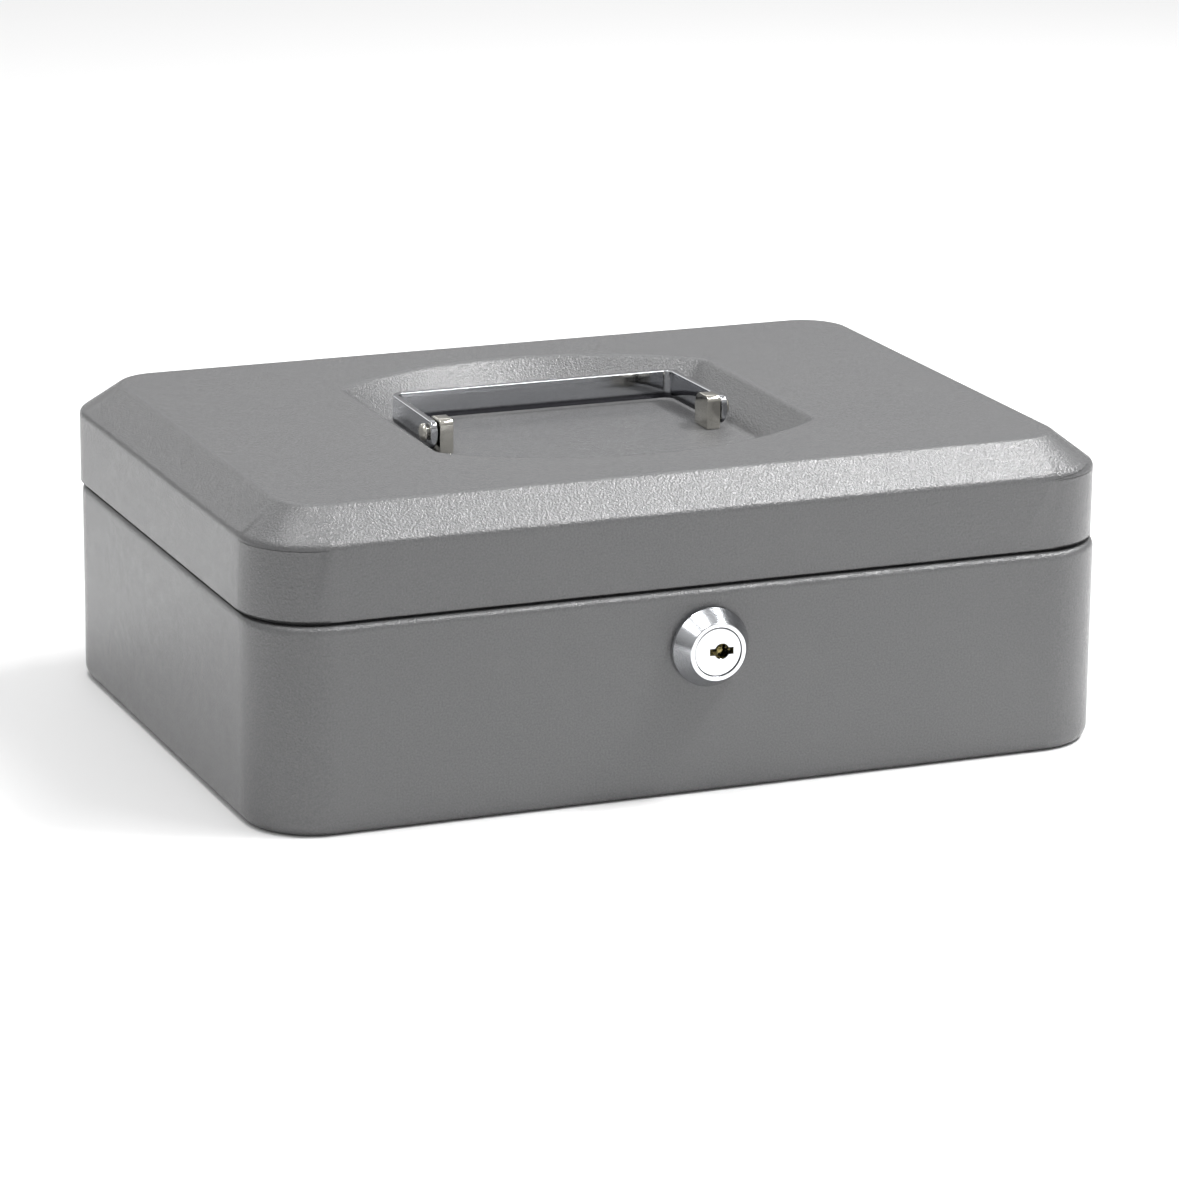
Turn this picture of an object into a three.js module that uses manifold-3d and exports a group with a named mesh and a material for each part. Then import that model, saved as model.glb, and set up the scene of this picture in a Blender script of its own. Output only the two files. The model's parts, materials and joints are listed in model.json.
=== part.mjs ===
// A lockable pressed-steel cash and document box: a deep base pan, a hinged lid with a chamfered
// top and a sunk handle recess, a folding strip handle, a cam lock and a coin tray.
// Millimetres. The origin is the centre of the underside, +X runs to the right along the front,
// +Y runs to the rear and +Z points up.
import * as THREE from "three";
import { mergeVertices } from "three/addons/utils/BufferGeometryUtils.js";
import Module from "manifold-3d";

const wasm = await Module();
wasm.setup();

// ---- driving dimensions ----
const WIDTH = 250; // outside, left to right
const DEPTH = 180; // outside, front to rear
const HEIGHT = 87.5; // underside to lid top
const SHEET = 1.0; // steel sheet thickness of base and lid
const GAP = 0.3; // air between pieces that rest on each other
const CORNER_R = 20; // upright corners, outside
const FACETS = 6; // straight pieces in a quarter round

// base pan
const BASE_BOTTOM_R = 4; // bend between floor and walls
const SHOULDER_R = 2; // rolled step under the seam
const SHOULDER_Z = 57.5; // level of the step
const LIP_TOP_Z = 65; // top of the inner lip that the lid drops over
const LIP_CLEARANCE = 1.2; // lip to the inside of the lid skirt

// lid
const LID_BACK = 1.6; // the lid sits this far behind the base
const SKIRT_Z = 58.3; // lower edge of the lid skirt
const CHAMFER_Z = 79; // where the skirt turns into the sloping band
const CHAMFER_IN = 10.8; // how far the sloping band leans in
const TOP_CORNER_R = 13; // corners of the flat top

// sunk handle recess in the lid top
const RECESS_CENTRE_Y = 3.2;
const RECESS_HALF_WIDTH = 56.6;
const RECESS_HALF_DEPTH = 59.6; // at the middle of the bowed front and rear
const RECESS_BOW_R = 86; // bow of the front and rear edges
const RECESS_FILLET_R = 6; // between the bowed edges and the straight sides
const RECESS_FLOOR_Z = 77.5;
const RECESS_WALL_RUN = 9.3; // how far its sloping wall leans in from rim to floor

// folding strip handle
const BAIL_HALF_WIDTH = 44.3; // at the rear bar
const BAIL_TIP_HALF_WIDTH = 45.2; // at the tips, as the legs spread slightly
const BAIL_REAR_Y = 36.7;
const BAIL_Z = [78.4, 86.7];
const BAIL_THICKNESS = 1.8;
const BAIL_BEND_R = 4;
const PIVOT_Y = 3.6;
const PIVOT_Z = 83;
const PIVOT_TO_TIP = 4.4; // from the pivot to the front end of each leg
const PIVOT_PIN_R = 1.5;
const PIVOT_HEAD_R = 2.5;

// lugs that carry the handle
const LUG_X = [39, 42.6];
const LUG_Y = [-1.4, 8];
const LUG_TOP_Z = 87.3;
const LUG_STEM_HALF = [0.9, 3]; // half width and half depth of the stem through the floor
const BACKING_HALF = [7, 10]; // half width and half depth of the plate under the floor
const BACKING_THICKNESS = 1.5;
const PEENED_HALF = [2, 4]; // half width and half depth of the stem's spread end
const PEENED_THICKNESS = 1.5;

// cam lock in the front wall
const LOCK_X = 1;
const LOCK_Z = 41.8;
const COLLAR_R = 11.1;
const COLLAR_FACE_R = 8;
const COLLAR_STANDS_OUT = 6.9;
const BARREL_R = 7.8;
const BARREL_LENGTH = 16; // from the wall's outside to the end of the barrel
const PLUG_R = 6.6;
const KEYWAY_X = LOCK_X + 1.1; // the keyway lies right of the plug's centre
const KEYWAY_HALF = [3.45, 0.95]; // slot across the plug
const KEYWAY_BORE_R = 2.2;
const KEYWAY_DEPTH = 15;
const POST_R = 1;
const NUT_R = 11.5; // over the corners
const NUT_THICKNESS = 3.5;
const CAM_REACH = 22;
const CAM_WIDTH = 8;
const CAM_THICKNESS = 2;
const CAM_HUB_R = 6.5;
const WASHER_R = 8.8;
const WASHER_THICKNESS = 0.8;
const SQUARE_HALF = 2.5; // square end of the plug that drives the cam

// catch under the lid that the cam turns behind
const CATCH_X = [15, 27];
const CATCH_SHEET = 1.2;
const CATCH_ARM_Z = 68; // level of its arm, above the base's lip
const CATCH_HANGER_Y = -78;
const CATCH_SHELF_END_Y = -68;

// rear hinges
const HINGE_X = 75; // centre of each hinge, from the middle of the box
const HINGE_HALF = 18; // half the width of a leaf
const KNUCKLE_HALF = 6; // half the length of the lid's middle knuckle
const HINGE_Y = 94.3;
const HINGE_Z = 57.9;
const KNUCKLE_R = 2.3;
const HINGE_PIN_R = 1.2;
const LEAF = 1.0; // hinge sheet thickness
const LEAF_STANDS_OFF = 0.4; // leaf to the wall it is riveted to
const BASE_LEAF_Z = [41, 53.5];
const LID_LEAF_Z = [60.9, 73];
const RIVET_SPREAD = 11; // each side of a hinge's centre
const BASE_RIVET_Z = 47;
const LID_RIVET_Z = 67;
const RIVET_R = 1.4;

// coin tray and its rails
const TRAY_X = 112;
const TRAY_Y = [-60, 81];
const TRAY_BOTTOM_Z = 32;
const TRAY_RIM_Z = [56.5, 58.1];
const TRAY_RIM = 5; // how far the rim stands out beyond the tray walls, front and rear
const TRAY_WALL = 1.5;
const COIN_CUPS = 5;
const CUP_REAR_Y = 8;
const RAIL_HALF_LENGTH = 65;

// ---- materials ----
const COAT = new THREE.MeshStandardMaterial({ color: 0x77787a, roughness: 0.5, metalness: 0.25 });
const CHROME = new THREE.MeshStandardMaterial({ color: 0xd4d6d8, roughness: 0.12, metalness: 1 });
const NICKEL = new THREE.MeshStandardMaterial({ color: 0xb9b5aa, roughness: 0.25, metalness: 1 });
const ZINC = new THREE.MeshStandardMaterial({ color: 0xa9abad, roughness: 0.4, metalness: 1 });
const BRASS = new THREE.MeshStandardMaterial({ color: 0xb08d4a, roughness: 0.3, metalness: 1 });
const PLASTIC = new THREE.MeshStandardMaterial({ color: 0x1f2022, roughness: 0.6, metalness: 0 });

// ---- solids ----
const box = new THREE.Group();

// A closed geometry as a solid that can be joined and cut.
function solid(geometry) {
  const bare = new THREE.BufferGeometry();
  bare.setAttribute("position", geometry.attributes.position);
  bare.setIndex(geometry.index);
  const merged = mergeVertices(bare, 1e-4);
  return new wasm.Manifold(
    new wasm.Mesh({
      numProp: 3,
      vertProperties: new Float32Array(merged.attributes.position.array),
      triVerts: new Uint32Array(merged.index.array),
    }),
  );
}

// Names a finished solid as one piece of the box.
function addPiece(name, shape, material) {
  const made = shape.getMesh();
  const geometry = new THREE.BufferGeometry();
  geometry.setAttribute("position", new THREE.BufferAttribute(made.vertProperties, 3));
  geometry.setIndex(new THREE.BufferAttribute(made.triVerts, 1));
  geometry.computeVertexNormals();
  const mesh = new THREE.Mesh(geometry, material);
  mesh.name = name;
  box.add(mesh);
}

function block([x0, x1], [y0, y1], [z0, z1]) {
  const geometry = new THREE.BoxGeometry(x1 - x0, y1 - y0, z1 - z0);
  return solid(geometry.translate((x0 + x1) / 2, (y0 + y1) / 2, (z0 + z1) / 2));
}

function drawnOut(shape, depth) {
  return new THREE.ExtrudeGeometry(shape, { depth, bevelEnabled: false, curveSegments: FACETS });
}

// A shape drawn in Y and Z, drawn out along X.
function acrossX(shape, [x0, x1]) {
  const geometry = drawnOut(shape, x1 - x0);
  const turn = new THREE.Matrix4().set(0, 0, 1, x0, 1, 0, 0, 0, 0, 1, 0, 0, 0, 0, 0, 1);
  return solid(geometry.applyMatrix4(turn));
}

// A shape drawn in X and Z, drawn out along Y.
function acrossY(shape, [y0, y1]) {
  const geometry = drawnOut(shape, y1 - y0);
  const turn = new THREE.Matrix4().set(1, 0, 0, 0, 0, 0, -1, y1, 0, 1, 0, 0, 0, 0, 0, 1);
  return solid(geometry.applyMatrix4(turn));
}

// A shape drawn in X and Y, drawn out along Z.
function upZ(shape, [z0, z1]) {
  const geometry = drawnOut(shape, z1 - z0);
  return solid(geometry.translate(0, 0, z0));
}

function polygon(points) {
  return new THREE.Shape(points.map(([a, b]) => new THREE.Vector2(a, b)));
}

// A profile of [radius, distance] pairs turned about the Y direction through (x, z).
function turnedY(profile, x, z, segments = 16) {
  const points = profile.map(([radius, y]) => new THREE.Vector2(radius, y));
  return solid(new THREE.LatheGeometry(points, segments).translate(x, 0, z));
}

// The same about the X direction through (y, z).
function turnedX(profile, y, z, segments = 16) {
  const points = profile.map(([radius, x]) => new THREE.Vector2(radius, x));
  return solid(new THREE.LatheGeometry(points, segments).rotateZ(-Math.PI / 2).translate(0, y, z));
}

function rodY(radius, [y0, y1], x, z, segments) {
  return turnedY([[0, y0], [radius, y0], [radius, y1], [0, y1]], x, z, segments);
}

function rodX(radius, [x0, x1], y, z, segments) {
  return turnedX([[0, x0], [radius, x0], [radius, x1], [0, x1]], y, z, segments);
}

// ---- outlines and lofts ----
function arc(x, y, radius, from, to, pieces = FACETS) {
  return new THREE.EllipseCurve(x, y, radius, radius, from, to, to < from).getPoints(pieces);
}

// A rounded rectangle centred on X = 0, anticlockwise.
function roundedRect(halfX, [front, rear], radius) {
  const corners = [[1, 1], [-1, 1], [-1, -1], [1, -1]];
  return corners.flatMap(([sideX, sideY], quarter) => {
    const x = sideX * (halfX - radius);
    const y = sideY > 0 ? rear - radius : front + radius;
    return arc(x, y, radius, (quarter * Math.PI) / 2, ((quarter + 1) * Math.PI) / 2);
  });
}

// The recess outline: straight sides, bowed front and rear, filleted corners.
// grow moves it outwards all round.
function recessOutline(grow) {
  const side = RECESS_HALF_WIDTH + grow - RECESS_FILLET_R;
  const bow = RECESS_BOW_R + grow;
  const bowCentre = RECESS_HALF_DEPTH - RECESS_BOW_R;
  const filletY = Math.sqrt((bow - RECESS_FILLET_R) ** 2 - side ** 2);
  const turn = Math.atan2(filletY, side);
  const rear = [
    ...arc(side, filletY + bowCentre, RECESS_FILLET_R, 0, turn, 3),
    ...arc(0, bowCentre, bow, turn, Math.PI - turn, 2 * FACETS).slice(1, -1),
    ...arc(-side, filletY + bowCentre, RECESS_FILLET_R, Math.PI - turn, Math.PI, 3),
  ];
  const front = rear.map((p) => new THREE.Vector2(-p.x, -p.y));
  return [...rear, ...front].map((p) => new THREE.Vector2(p.x, p.y + RECESS_CENTRE_Y));
}

// A closed solid through outlines stacked up Z: rings holds [outline, z] pairs, lowest first.
function loft(rings) {
  const count = rings[0][0].length;
  const positions = rings.flatMap(([outline, z]) => outline.flatMap((p) => [p.x, p.y, z]));
  const index = [];
  for (let level = 0; level < rings.length - 1; level++) {
    for (let i = 0; i < count; i++) {
      const a = level * count + i;
      const b = level * count + ((i + 1) % count);
      index.push(a, b, b + count, a, b + count, a + count);
    }
  }
  const top = (rings.length - 1) * count;
  for (let i = 1; i < count - 1; i++) {
    index.push(0, i + 1, i);
    index.push(top, top + i, top + i + 1);
  }
  const geometry = new THREE.BufferGeometry();
  geometry.setAttribute("position", new THREE.Float32BufferAttribute(positions, 3));
  geometry.setIndex(index);
  return solid(geometry);
}

// ---- base pan ----
const LIP_IN = SHEET + LIP_CLEARANCE;
const WALL_FRONT = -DEPTH / 2;
const WALL_REAR = DEPTH / 2;

// One level of the base: inset from the walls, and a further step back at the front only.
function baseRing(inset, z, frontStep = 0) {
  const ends = [WALL_FRONT + inset + frontStep, WALL_REAR - inset];
  return [roundedRect(WIDTH / 2 - inset, ends, CORNER_R - inset), z];
}

// Levels round a quarter bend of the given radius, as [inset, z] pairs.
function bend(radius, centreZ, upwards) {
  return arc(radius, centreZ, radius, Math.PI, Math.PI * (upwards ? 0.5 : 1.5), 3).map((p) => [p.x, p.y]);
}

function makeBase() {
  const bottom = bend(BASE_BOTTOM_R, BASE_BOTTOM_R, false).reverse();
  const shoulder = bend(SHOULDER_R, SHOULDER_Z - SHOULDER_R, true);
  const outside = loft([
    ...bottom.map(([inset, z]) => baseRing(inset, z)),
    ...shoulder.map(([inset, z]) => baseRing(inset, z)),
    baseRing(LIP_IN, SHOULDER_Z + 0.01, LID_BACK),
    baseRing(LIP_IN, LIP_TOP_Z, LID_BACK),
  ]);
  const insideBottom = bend(BASE_BOTTOM_R - SHEET, BASE_BOTTOM_R, false).reverse();
  const inside = loft([
    ...insideBottom.map(([inset, z]) => baseRing(inset + SHEET, z)),
    baseRing(SHEET, SHOULDER_Z - SHOULDER_R),
    baseRing(SHOULDER_R, SHOULDER_Z - SHEET),
    baseRing(LIP_IN + SHEET, SHOULDER_Z - SHEET + 0.01, LID_BACK),
    baseRing(LIP_IN + SHEET, LIP_TOP_Z + SHEET, LID_BACK),
  ]);
  let shell = outside.subtract(inside);
  const throughFront = [WALL_FRONT - SHEET, WALL_FRONT + 2 * SHEET];
  const throughRear = [WALL_REAR - 2 * SHEET, WALL_REAR + SHEET];
  shell = shell.subtract(rodY(BARREL_R + GAP, throughFront, LOCK_X, LOCK_Z, 24));
  for (const x of rivetPlaces()) {
    shell = shell.subtract(rodY(RIVET_R + GAP, throughRear, x, BASE_RIVET_Z, 10));
  }
  addPiece("base_shell", shell, COAT);
}

// ---- lid ----
const LID_FRONT = WALL_FRONT + LID_BACK;
const LID_REAR = WALL_REAR + LID_BACK;

function lidRing(inset, z, radius) {
  return [roundedRect(WIDTH / 2 - inset, [LID_FRONT + inset, LID_REAR - inset], radius), z];
}

// The recess outline at a level on its sloping wall, moved out by grow.
function recessRing(z, grow = 0) {
  const slope = RECESS_WALL_RUN / (HEIGHT - RECESS_FLOOR_Z);
  return [recessOutline((z - HEIGHT) * slope + grow), z];
}

function makeLid() {
  const outside = loft([
    lidRing(0, SKIRT_Z, CORNER_R),
    lidRing(0, CHAMFER_Z, CORNER_R),
    lidRing(CHAMFER_IN, HEIGHT, TOP_CORNER_R),
  ]);
  const cavity = loft([
    lidRing(SHEET, SKIRT_Z - SHEET, CORNER_R - SHEET),
    lidRing(SHEET, CHAMFER_Z - SHEET / 2, CORNER_R - SHEET),
    lidRing(CHAMFER_IN + SHEET / 3, HEIGHT - SHEET, TOP_CORNER_R - SHEET / 3),
  ]);
  const dish = loft([recessRing(RECESS_FLOOR_Z), recessRing(HEIGHT + SHEET)]);
  const dishBack = loft([
    recessRing(RECESS_FLOOR_Z - SHEET, 1.4 * SHEET),
    recessRing(HEIGHT + SHEET, 1.4 * SHEET),
  ]);
  let shell = outside.subtract(dish).subtract(cavity.subtract(dishBack));
  for (const side of [-1, 1]) {
    const slot = lugStem([RECESS_FLOOR_Z - 3 * SHEET, RECESS_FLOOR_Z + SHEET], GAP);
    shell = shell.subtract(side > 0 ? slot : slot.mirror([1, 0, 0]));
  }
  const throughRear = [LID_REAR - 2 * SHEET, LID_REAR + SHEET];
  for (const x of rivetPlaces()) {
    shell = shell.subtract(rodY(RIVET_R + GAP, throughRear, x, LID_RIVET_Z, 10));
  }
  addPiece("lid_shell", shell, COAT);
}

// ---- handle ----
const LUG_CENTRE_X = (LUG_X[0] + LUG_X[1]) / 2;
const LUG_CENTRE_Y = (LUG_Y[0] + LUG_Y[1]) / 2;

// The part of the right lug that goes down through the recess floor.
function lugStem(levels, grow = 0) {
  return aroundLug(LUG_STEM_HALF.map((half) => half + grow), levels);
}

// A block centred under the right lug.
function aroundLug([halfX, halfY], levels) {
  const across = [LUG_CENTRE_X - halfX, LUG_CENTRE_X + halfX];
  return block(across, [LUG_CENTRE_Y - halfY, LUG_CENTRE_Y + halfY], levels);
}

// A rectangle in Y and Z with its own radius at each corner:
// front low, rear low, rear high, front high.
function sideProfile([y0, y1], [z0, z1], [frontLow, rearLow, rearHigh, frontHigh]) {
  const shape = new THREE.Shape();
  shape.moveTo(y0 + frontLow, z0);
  shape.lineTo(y1 - rearLow, z0);
  if (rearLow) shape.absarc(y1 - rearLow, z0 + rearLow, rearLow, -Math.PI / 2, 0);
  shape.lineTo(y1, z1 - rearHigh);
  if (rearHigh) shape.absarc(y1 - rearHigh, z1 - rearHigh, rearHigh, 0, Math.PI / 2);
  shape.lineTo(y0 + frontHigh, z1);
  if (frontHigh) shape.absarc(y0 + frontHigh, z1 - frontHigh, frontHigh, Math.PI / 2, Math.PI);
  shape.lineTo(y0, z0 + frontLow);
  if (frontLow) shape.absarc(y0 + frontLow, z0 + frontLow, frontLow, Math.PI, Math.PI * 1.5);
  return shape;
}

function makeBail() {
  const front = PIVOT_Y - PIVOT_TO_TIP;
  const tip = BAIL_TIP_HALF_WIDTH;
  const inner = BAIL_HALF_WIDTH - BAIL_THICKNESS;
  const bendX = BAIL_HALF_WIDTH - BAIL_BEND_R;
  const bendY = BAIL_REAR_Y - BAIL_BEND_R;
  const innerR = BAIL_BEND_R - BAIL_THICKNESS;
  const plan = new THREE.Shape();
  plan.moveTo(tip, front);
  plan.lineTo(BAIL_HALF_WIDTH, bendY);
  plan.absarc(bendX, bendY, BAIL_BEND_R, 0, Math.PI / 2);
  plan.lineTo(-bendX, BAIL_REAR_Y);
  plan.absarc(-bendX, bendY, BAIL_BEND_R, Math.PI / 2, Math.PI);
  plan.lineTo(-tip, front);
  plan.lineTo(BAIL_THICKNESS - tip, front);
  plan.lineTo(-inner, bendY);
  plan.absarc(-bendX, bendY, innerR, Math.PI, Math.PI / 2, true);
  plan.lineTo(bendX, BAIL_REAR_Y - BAIL_THICKNESS);
  plan.absarc(bendX, bendY, innerR, Math.PI / 2, 0, true);
  plan.lineTo(tip - BAIL_THICKNESS, front);
  const legEnds = sideProfile([front, BAIL_REAR_Y + 1], BAIL_Z, [3, 0, 0, 2.2]);
  const strip = upZ(plan, BAIL_Z).intersect(acrossX(legEnds, [-tip - 1, tip + 1]));
  const bore = rodX(PIVOT_PIN_R + GAP, [-tip - 1, tip + 1], PIVOT_Y, PIVOT_Z);
  addPiece("handle_bail", strip.subtract(bore), CHROME);
}

// A lug, its backing plate under the recess floor and its pivot pin, drawn on the right.
function makeLugs() {
  const under = RECESS_FLOOR_Z - SHEET - GAP;
  const backing = under - BACKING_THICKNESS;
  const peened = backing - GAP;
  const pinStart = LUG_X[0] + 1.4;
  const lugSide = sideProfile(LUG_Y, [RECESS_FLOOR_Z + GAP, LUG_TOP_Z], [0, 0, 4, 1.8]);
  const lug = acrossX(lugSide, LUG_X)
    .add(lugStem([peened - SHEET, RECESS_FLOOR_Z + SHEET]))
    .add(aroundLug(PEENED_HALF, [peened - PEENED_THICKNESS, peened]))
    .subtract(rodX(PIVOT_PIN_R + GAP, [pinStart - GAP, LUG_X[1] + 1], PIVOT_Y, PIVOT_Z));

  const [halfX, halfY] = BACKING_HALF;
  const plateOutline = roundedRect(halfX, [-halfY, halfY], 2);
  const plate = upZ(polygon(plateOutline.map((p) => [p.x, p.y])), [backing, under])
    .translate([LUG_CENTRE_X, LUG_CENTRE_Y, 0])
    .subtract(lugStem([backing - 1, under + 1], GAP));

  const headX = BAIL_TIP_HALF_WIDTH + GAP;
  const pinProfile = [
    [0, pinStart], [PIVOT_PIN_R, pinStart], [PIVOT_PIN_R, headX], [PIVOT_HEAD_R, headX],
    [PIVOT_HEAD_R, headX + 1.1], [1.8, headX + 1.7], [0, headX + 1.7],
  ];
  const pin = turnedX(pinProfile, PIVOT_Y, PIVOT_Z);
  for (const [name, side] of [["left", -1], ["right", 1]]) {
    const place = (shape) => (side > 0 ? shape : shape.mirror([1, 0, 0]));
    addPiece("handle_lug_" + name, place(lug), NICKEL);
    addPiece("lug_backing_plate_" + name, place(plate), ZINC);
    addPiece("handle_pivot_pin_" + name, place(pin), NICKEL);
  }
}

// ---- cam lock ----
const COLLAR_FACE_Y = WALL_FRONT - COLLAR_STANDS_OUT;
const BARREL_END_Y = WALL_FRONT + BARREL_LENGTH;

function makeLockCase() {
  const bore = PLUG_R + GAP;
  const seat = WALL_FRONT - GAP;
  const profile = [
    [bore, COLLAR_FACE_Y], [COLLAR_FACE_R - 0.6, COLLAR_FACE_Y], [COLLAR_FACE_R, COLLAR_FACE_Y + 0.5],
    [COLLAR_R - 0.4, seat - 1.5], [COLLAR_R, seat - 0.9], [COLLAR_R, seat], [BARREL_R, seat],
    [BARREL_R, BARREL_END_Y], [bore, BARREL_END_Y], [bore, COLLAR_FACE_Y],
  ];
  addPiece("lock_collar", turnedY(profile, LOCK_X, LOCK_Z, 32), CHROME);
  const nutFront = WALL_FRONT + SHEET + GAP;
  const thread = rodY(BARREL_R + GAP, [nutFront - 1, nutFront + NUT_THICKNESS + 1], LOCK_X, LOCK_Z, 24);
  const hexagon = rodY(NUT_R, [nutFront, nutFront + NUT_THICKNESS], LOCK_X, LOCK_Z, 6);
  addPiece("lock_nut", hexagon.subtract(thread), ZINC);
}

const WAFERS = 4;
const WAFER_PITCH = 2.2;
const WAFER_THICKNESS = 0.9;
const WAFER_HALF = [2.5, 4.7];
const FIRST_WAFER = 5.6; // behind the plug's face

// A block along Y centred on the given X at the lock's height.
function lockBlock(x, [halfX, halfZ], ends) {
  return block([x - halfX, x + halfX], ends, [LOCK_Z - halfZ, LOCK_Z + halfZ]);
}

function makePlug() {
  const face = COLLAR_FACE_Y + GAP;
  const keywayEnd = face + KEYWAY_DEPTH;
  const shoulder = BARREL_END_Y;
  const washer = [shoulder + GAP, shoulder + GAP + WASHER_THICKNESS];
  const cam = [washer[1] + GAP, washer[1] + GAP + CAM_THICKNESS];
  const squareEnd = cam[1];
  const square = [SQUARE_HALF, SQUARE_HALF];
  const looseSquare = [SQUARE_HALF + GAP, SQUARE_HALF + GAP];
  const body = [[0, face], [PLUG_R - 0.3, face], [PLUG_R, face + 0.3], [PLUG_R, shoulder], [0, shoulder]];
  let plug = turnedY(body, LOCK_X, LOCK_Z, 28)
    .add(lockBlock(LOCK_X, square, [shoulder - 1, squareEnd]))
    .subtract(lockBlock(KEYWAY_X, KEYWAY_HALF, [face - 1, keywayEnd]))
    .subtract(rodY(KEYWAY_BORE_R, [face - 1, keywayEnd], KEYWAY_X, LOCK_Z, 16))
    .subtract(rodY(POST_R + GAP, [keywayEnd - 1, keywayEnd + 2], KEYWAY_X, LOCK_Z, 10))
    .subtract(rodY(1.3, [squareEnd - 5, squareEnd + 1], LOCK_X, LOCK_Z, 10));
  for (let i = 0; i < WAFERS; i++) {
    const y = face + FIRST_WAFER + i * WAFER_PITCH;
    const room = WAFER_HALF.map((half) => half + GAP);
    plug = plug.subtract(lockBlock(KEYWAY_X, room, [y - GAP, y + WAFER_THICKNESS + GAP]));
    const wafer = lockBlock(KEYWAY_X, WAFER_HALF, [y, y + WAFER_THICKNESS])
      .subtract(lockBlock(KEYWAY_X, [2, 1.2], [y - 1, y + 2]))
      .subtract(rodY(KEYWAY_BORE_R - 0.5, [y - 1, y + 2], KEYWAY_X, LOCK_Z, 12));
    addPiece("lock_wafer_" + (i + 1), wafer, BRASS);
  }
  addPiece("lock_plug", plug, CHROME);
  addPiece("keyway_post", rodY(POST_R, [face + 1.2, keywayEnd + 1.5], KEYWAY_X, LOCK_Z, 10), BRASS);

  const drive = lockBlock(LOCK_X, looseSquare, [shoulder - 1, squareEnd + 1]);
  const tab = block([LOCK_X - 1.5, LOCK_X + 1.5], washer, [LOCK_Z - 10.3, LOCK_Z - 8]);
  const stop = rodY(WASHER_R, washer, LOCK_X, LOCK_Z, 20).add(tab);
  addPiece("lock_stop_washer", stop.subtract(drive), ZINC);
  addPiece("lock_cam", acrossY(camShape(), cam).subtract(drive), ZINC);

  const head = squareEnd + GAP;
  const screwProfile = [
    [0, squareEnd - 4.5], [1, squareEnd - 4.5], [1, head], [4.2, head], [4.2, head + 1.6], [3, head + 2.4],
    [0, head + 2.4],
  ];
  const screw = turnedY(screwProfile, LOCK_X, LOCK_Z, 14);
  addPiece("lock_cam_screw", screw.subtract(lockBlock(LOCK_X, [3, 0.4], [head + 1.4, head + 3])), ZINC);
}

// The cam: a round hub with an arm that points up when the lock is open.
function camShape() {
  const half = CAM_WIDTH / 2;
  const neck = Math.asin(half / CAM_HUB_R);
  const end = LOCK_Z + CAM_REACH - half;
  const shape = new THREE.Shape();
  shape.absarc(LOCK_X, LOCK_Z, CAM_HUB_R, Math.PI / 2 + neck, Math.PI * 2.5 - neck);
  shape.lineTo(LOCK_X + half, end);
  shape.absarc(LOCK_X, end, half, 0, Math.PI);
  return shape;
}

// A folded strip welded inside the lid's front.
// Its shelf passes under the cam when the lock is shut.
function makeCatch() {
  const skirtFace = LID_FRONT + SHEET + GAP;
  const t = CATCH_SHEET;
  const hangerY = CATCH_HANGER_Y;
  const armZ = CATCH_ARM_Z;
  const shelfTop = LOCK_Z - CAM_WIDTH / 2 - 1;
  const strip = polygon([
    [skirtFace, CHAMFER_Z - 2], [skirtFace, armZ], [hangerY, armZ], [hangerY, shelfTop - t],
    [CATCH_SHELF_END_Y, shelfTop - t], [CATCH_SHELF_END_Y, shelfTop], [hangerY + t, shelfTop],
    [hangerY + t, armZ + t], [skirtFace + t, armZ + t], [skirtFace + t, CHAMFER_Z - 2],
  ]);
  addPiece("lid_catch", acrossX(strip, CATCH_X), ZINC);
}

// ---- hinges ----
function rivetPlaces() {
  return [-1, 1].flatMap((side) => [-1, 1].map((end) => side * HINGE_X + end * RIVET_SPREAD));
}

// A round-headed rivet through a wall and a hinge leaf.
// outerY is the leaf's outer face.
function rivet(outerY, wallInnerY, x, z) {
  const head = outerY + GAP;
  const tail = wallInnerY - GAP;
  const profile = [
    [0, tail - 1], [2.4, tail - 1], [2.6, tail], [RIVET_R, tail], [RIVET_R, head], [3, head],
    [2.2, head + 1.1], [0, head + 1.5],
  ];
  return turnedY(profile, x, z, 12);
}

// A hinge pin along X with a head at each end, centred on X = 0.
function hingePin() {
  const end = HINGE_HALF + GAP;
  const headR = 1.9;
  const headEnd = end + 0.9;
  const profile = [
    [0, -headEnd], [headR, -headEnd], [headR, -end], [HINGE_PIN_R, -end], [HINGE_PIN_R, end],
    [headR, end], [headR, headEnd], [0, headEnd],
  ];
  return turnedX(profile, HINGE_Y, HINGE_Z, 12);
}

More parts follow.
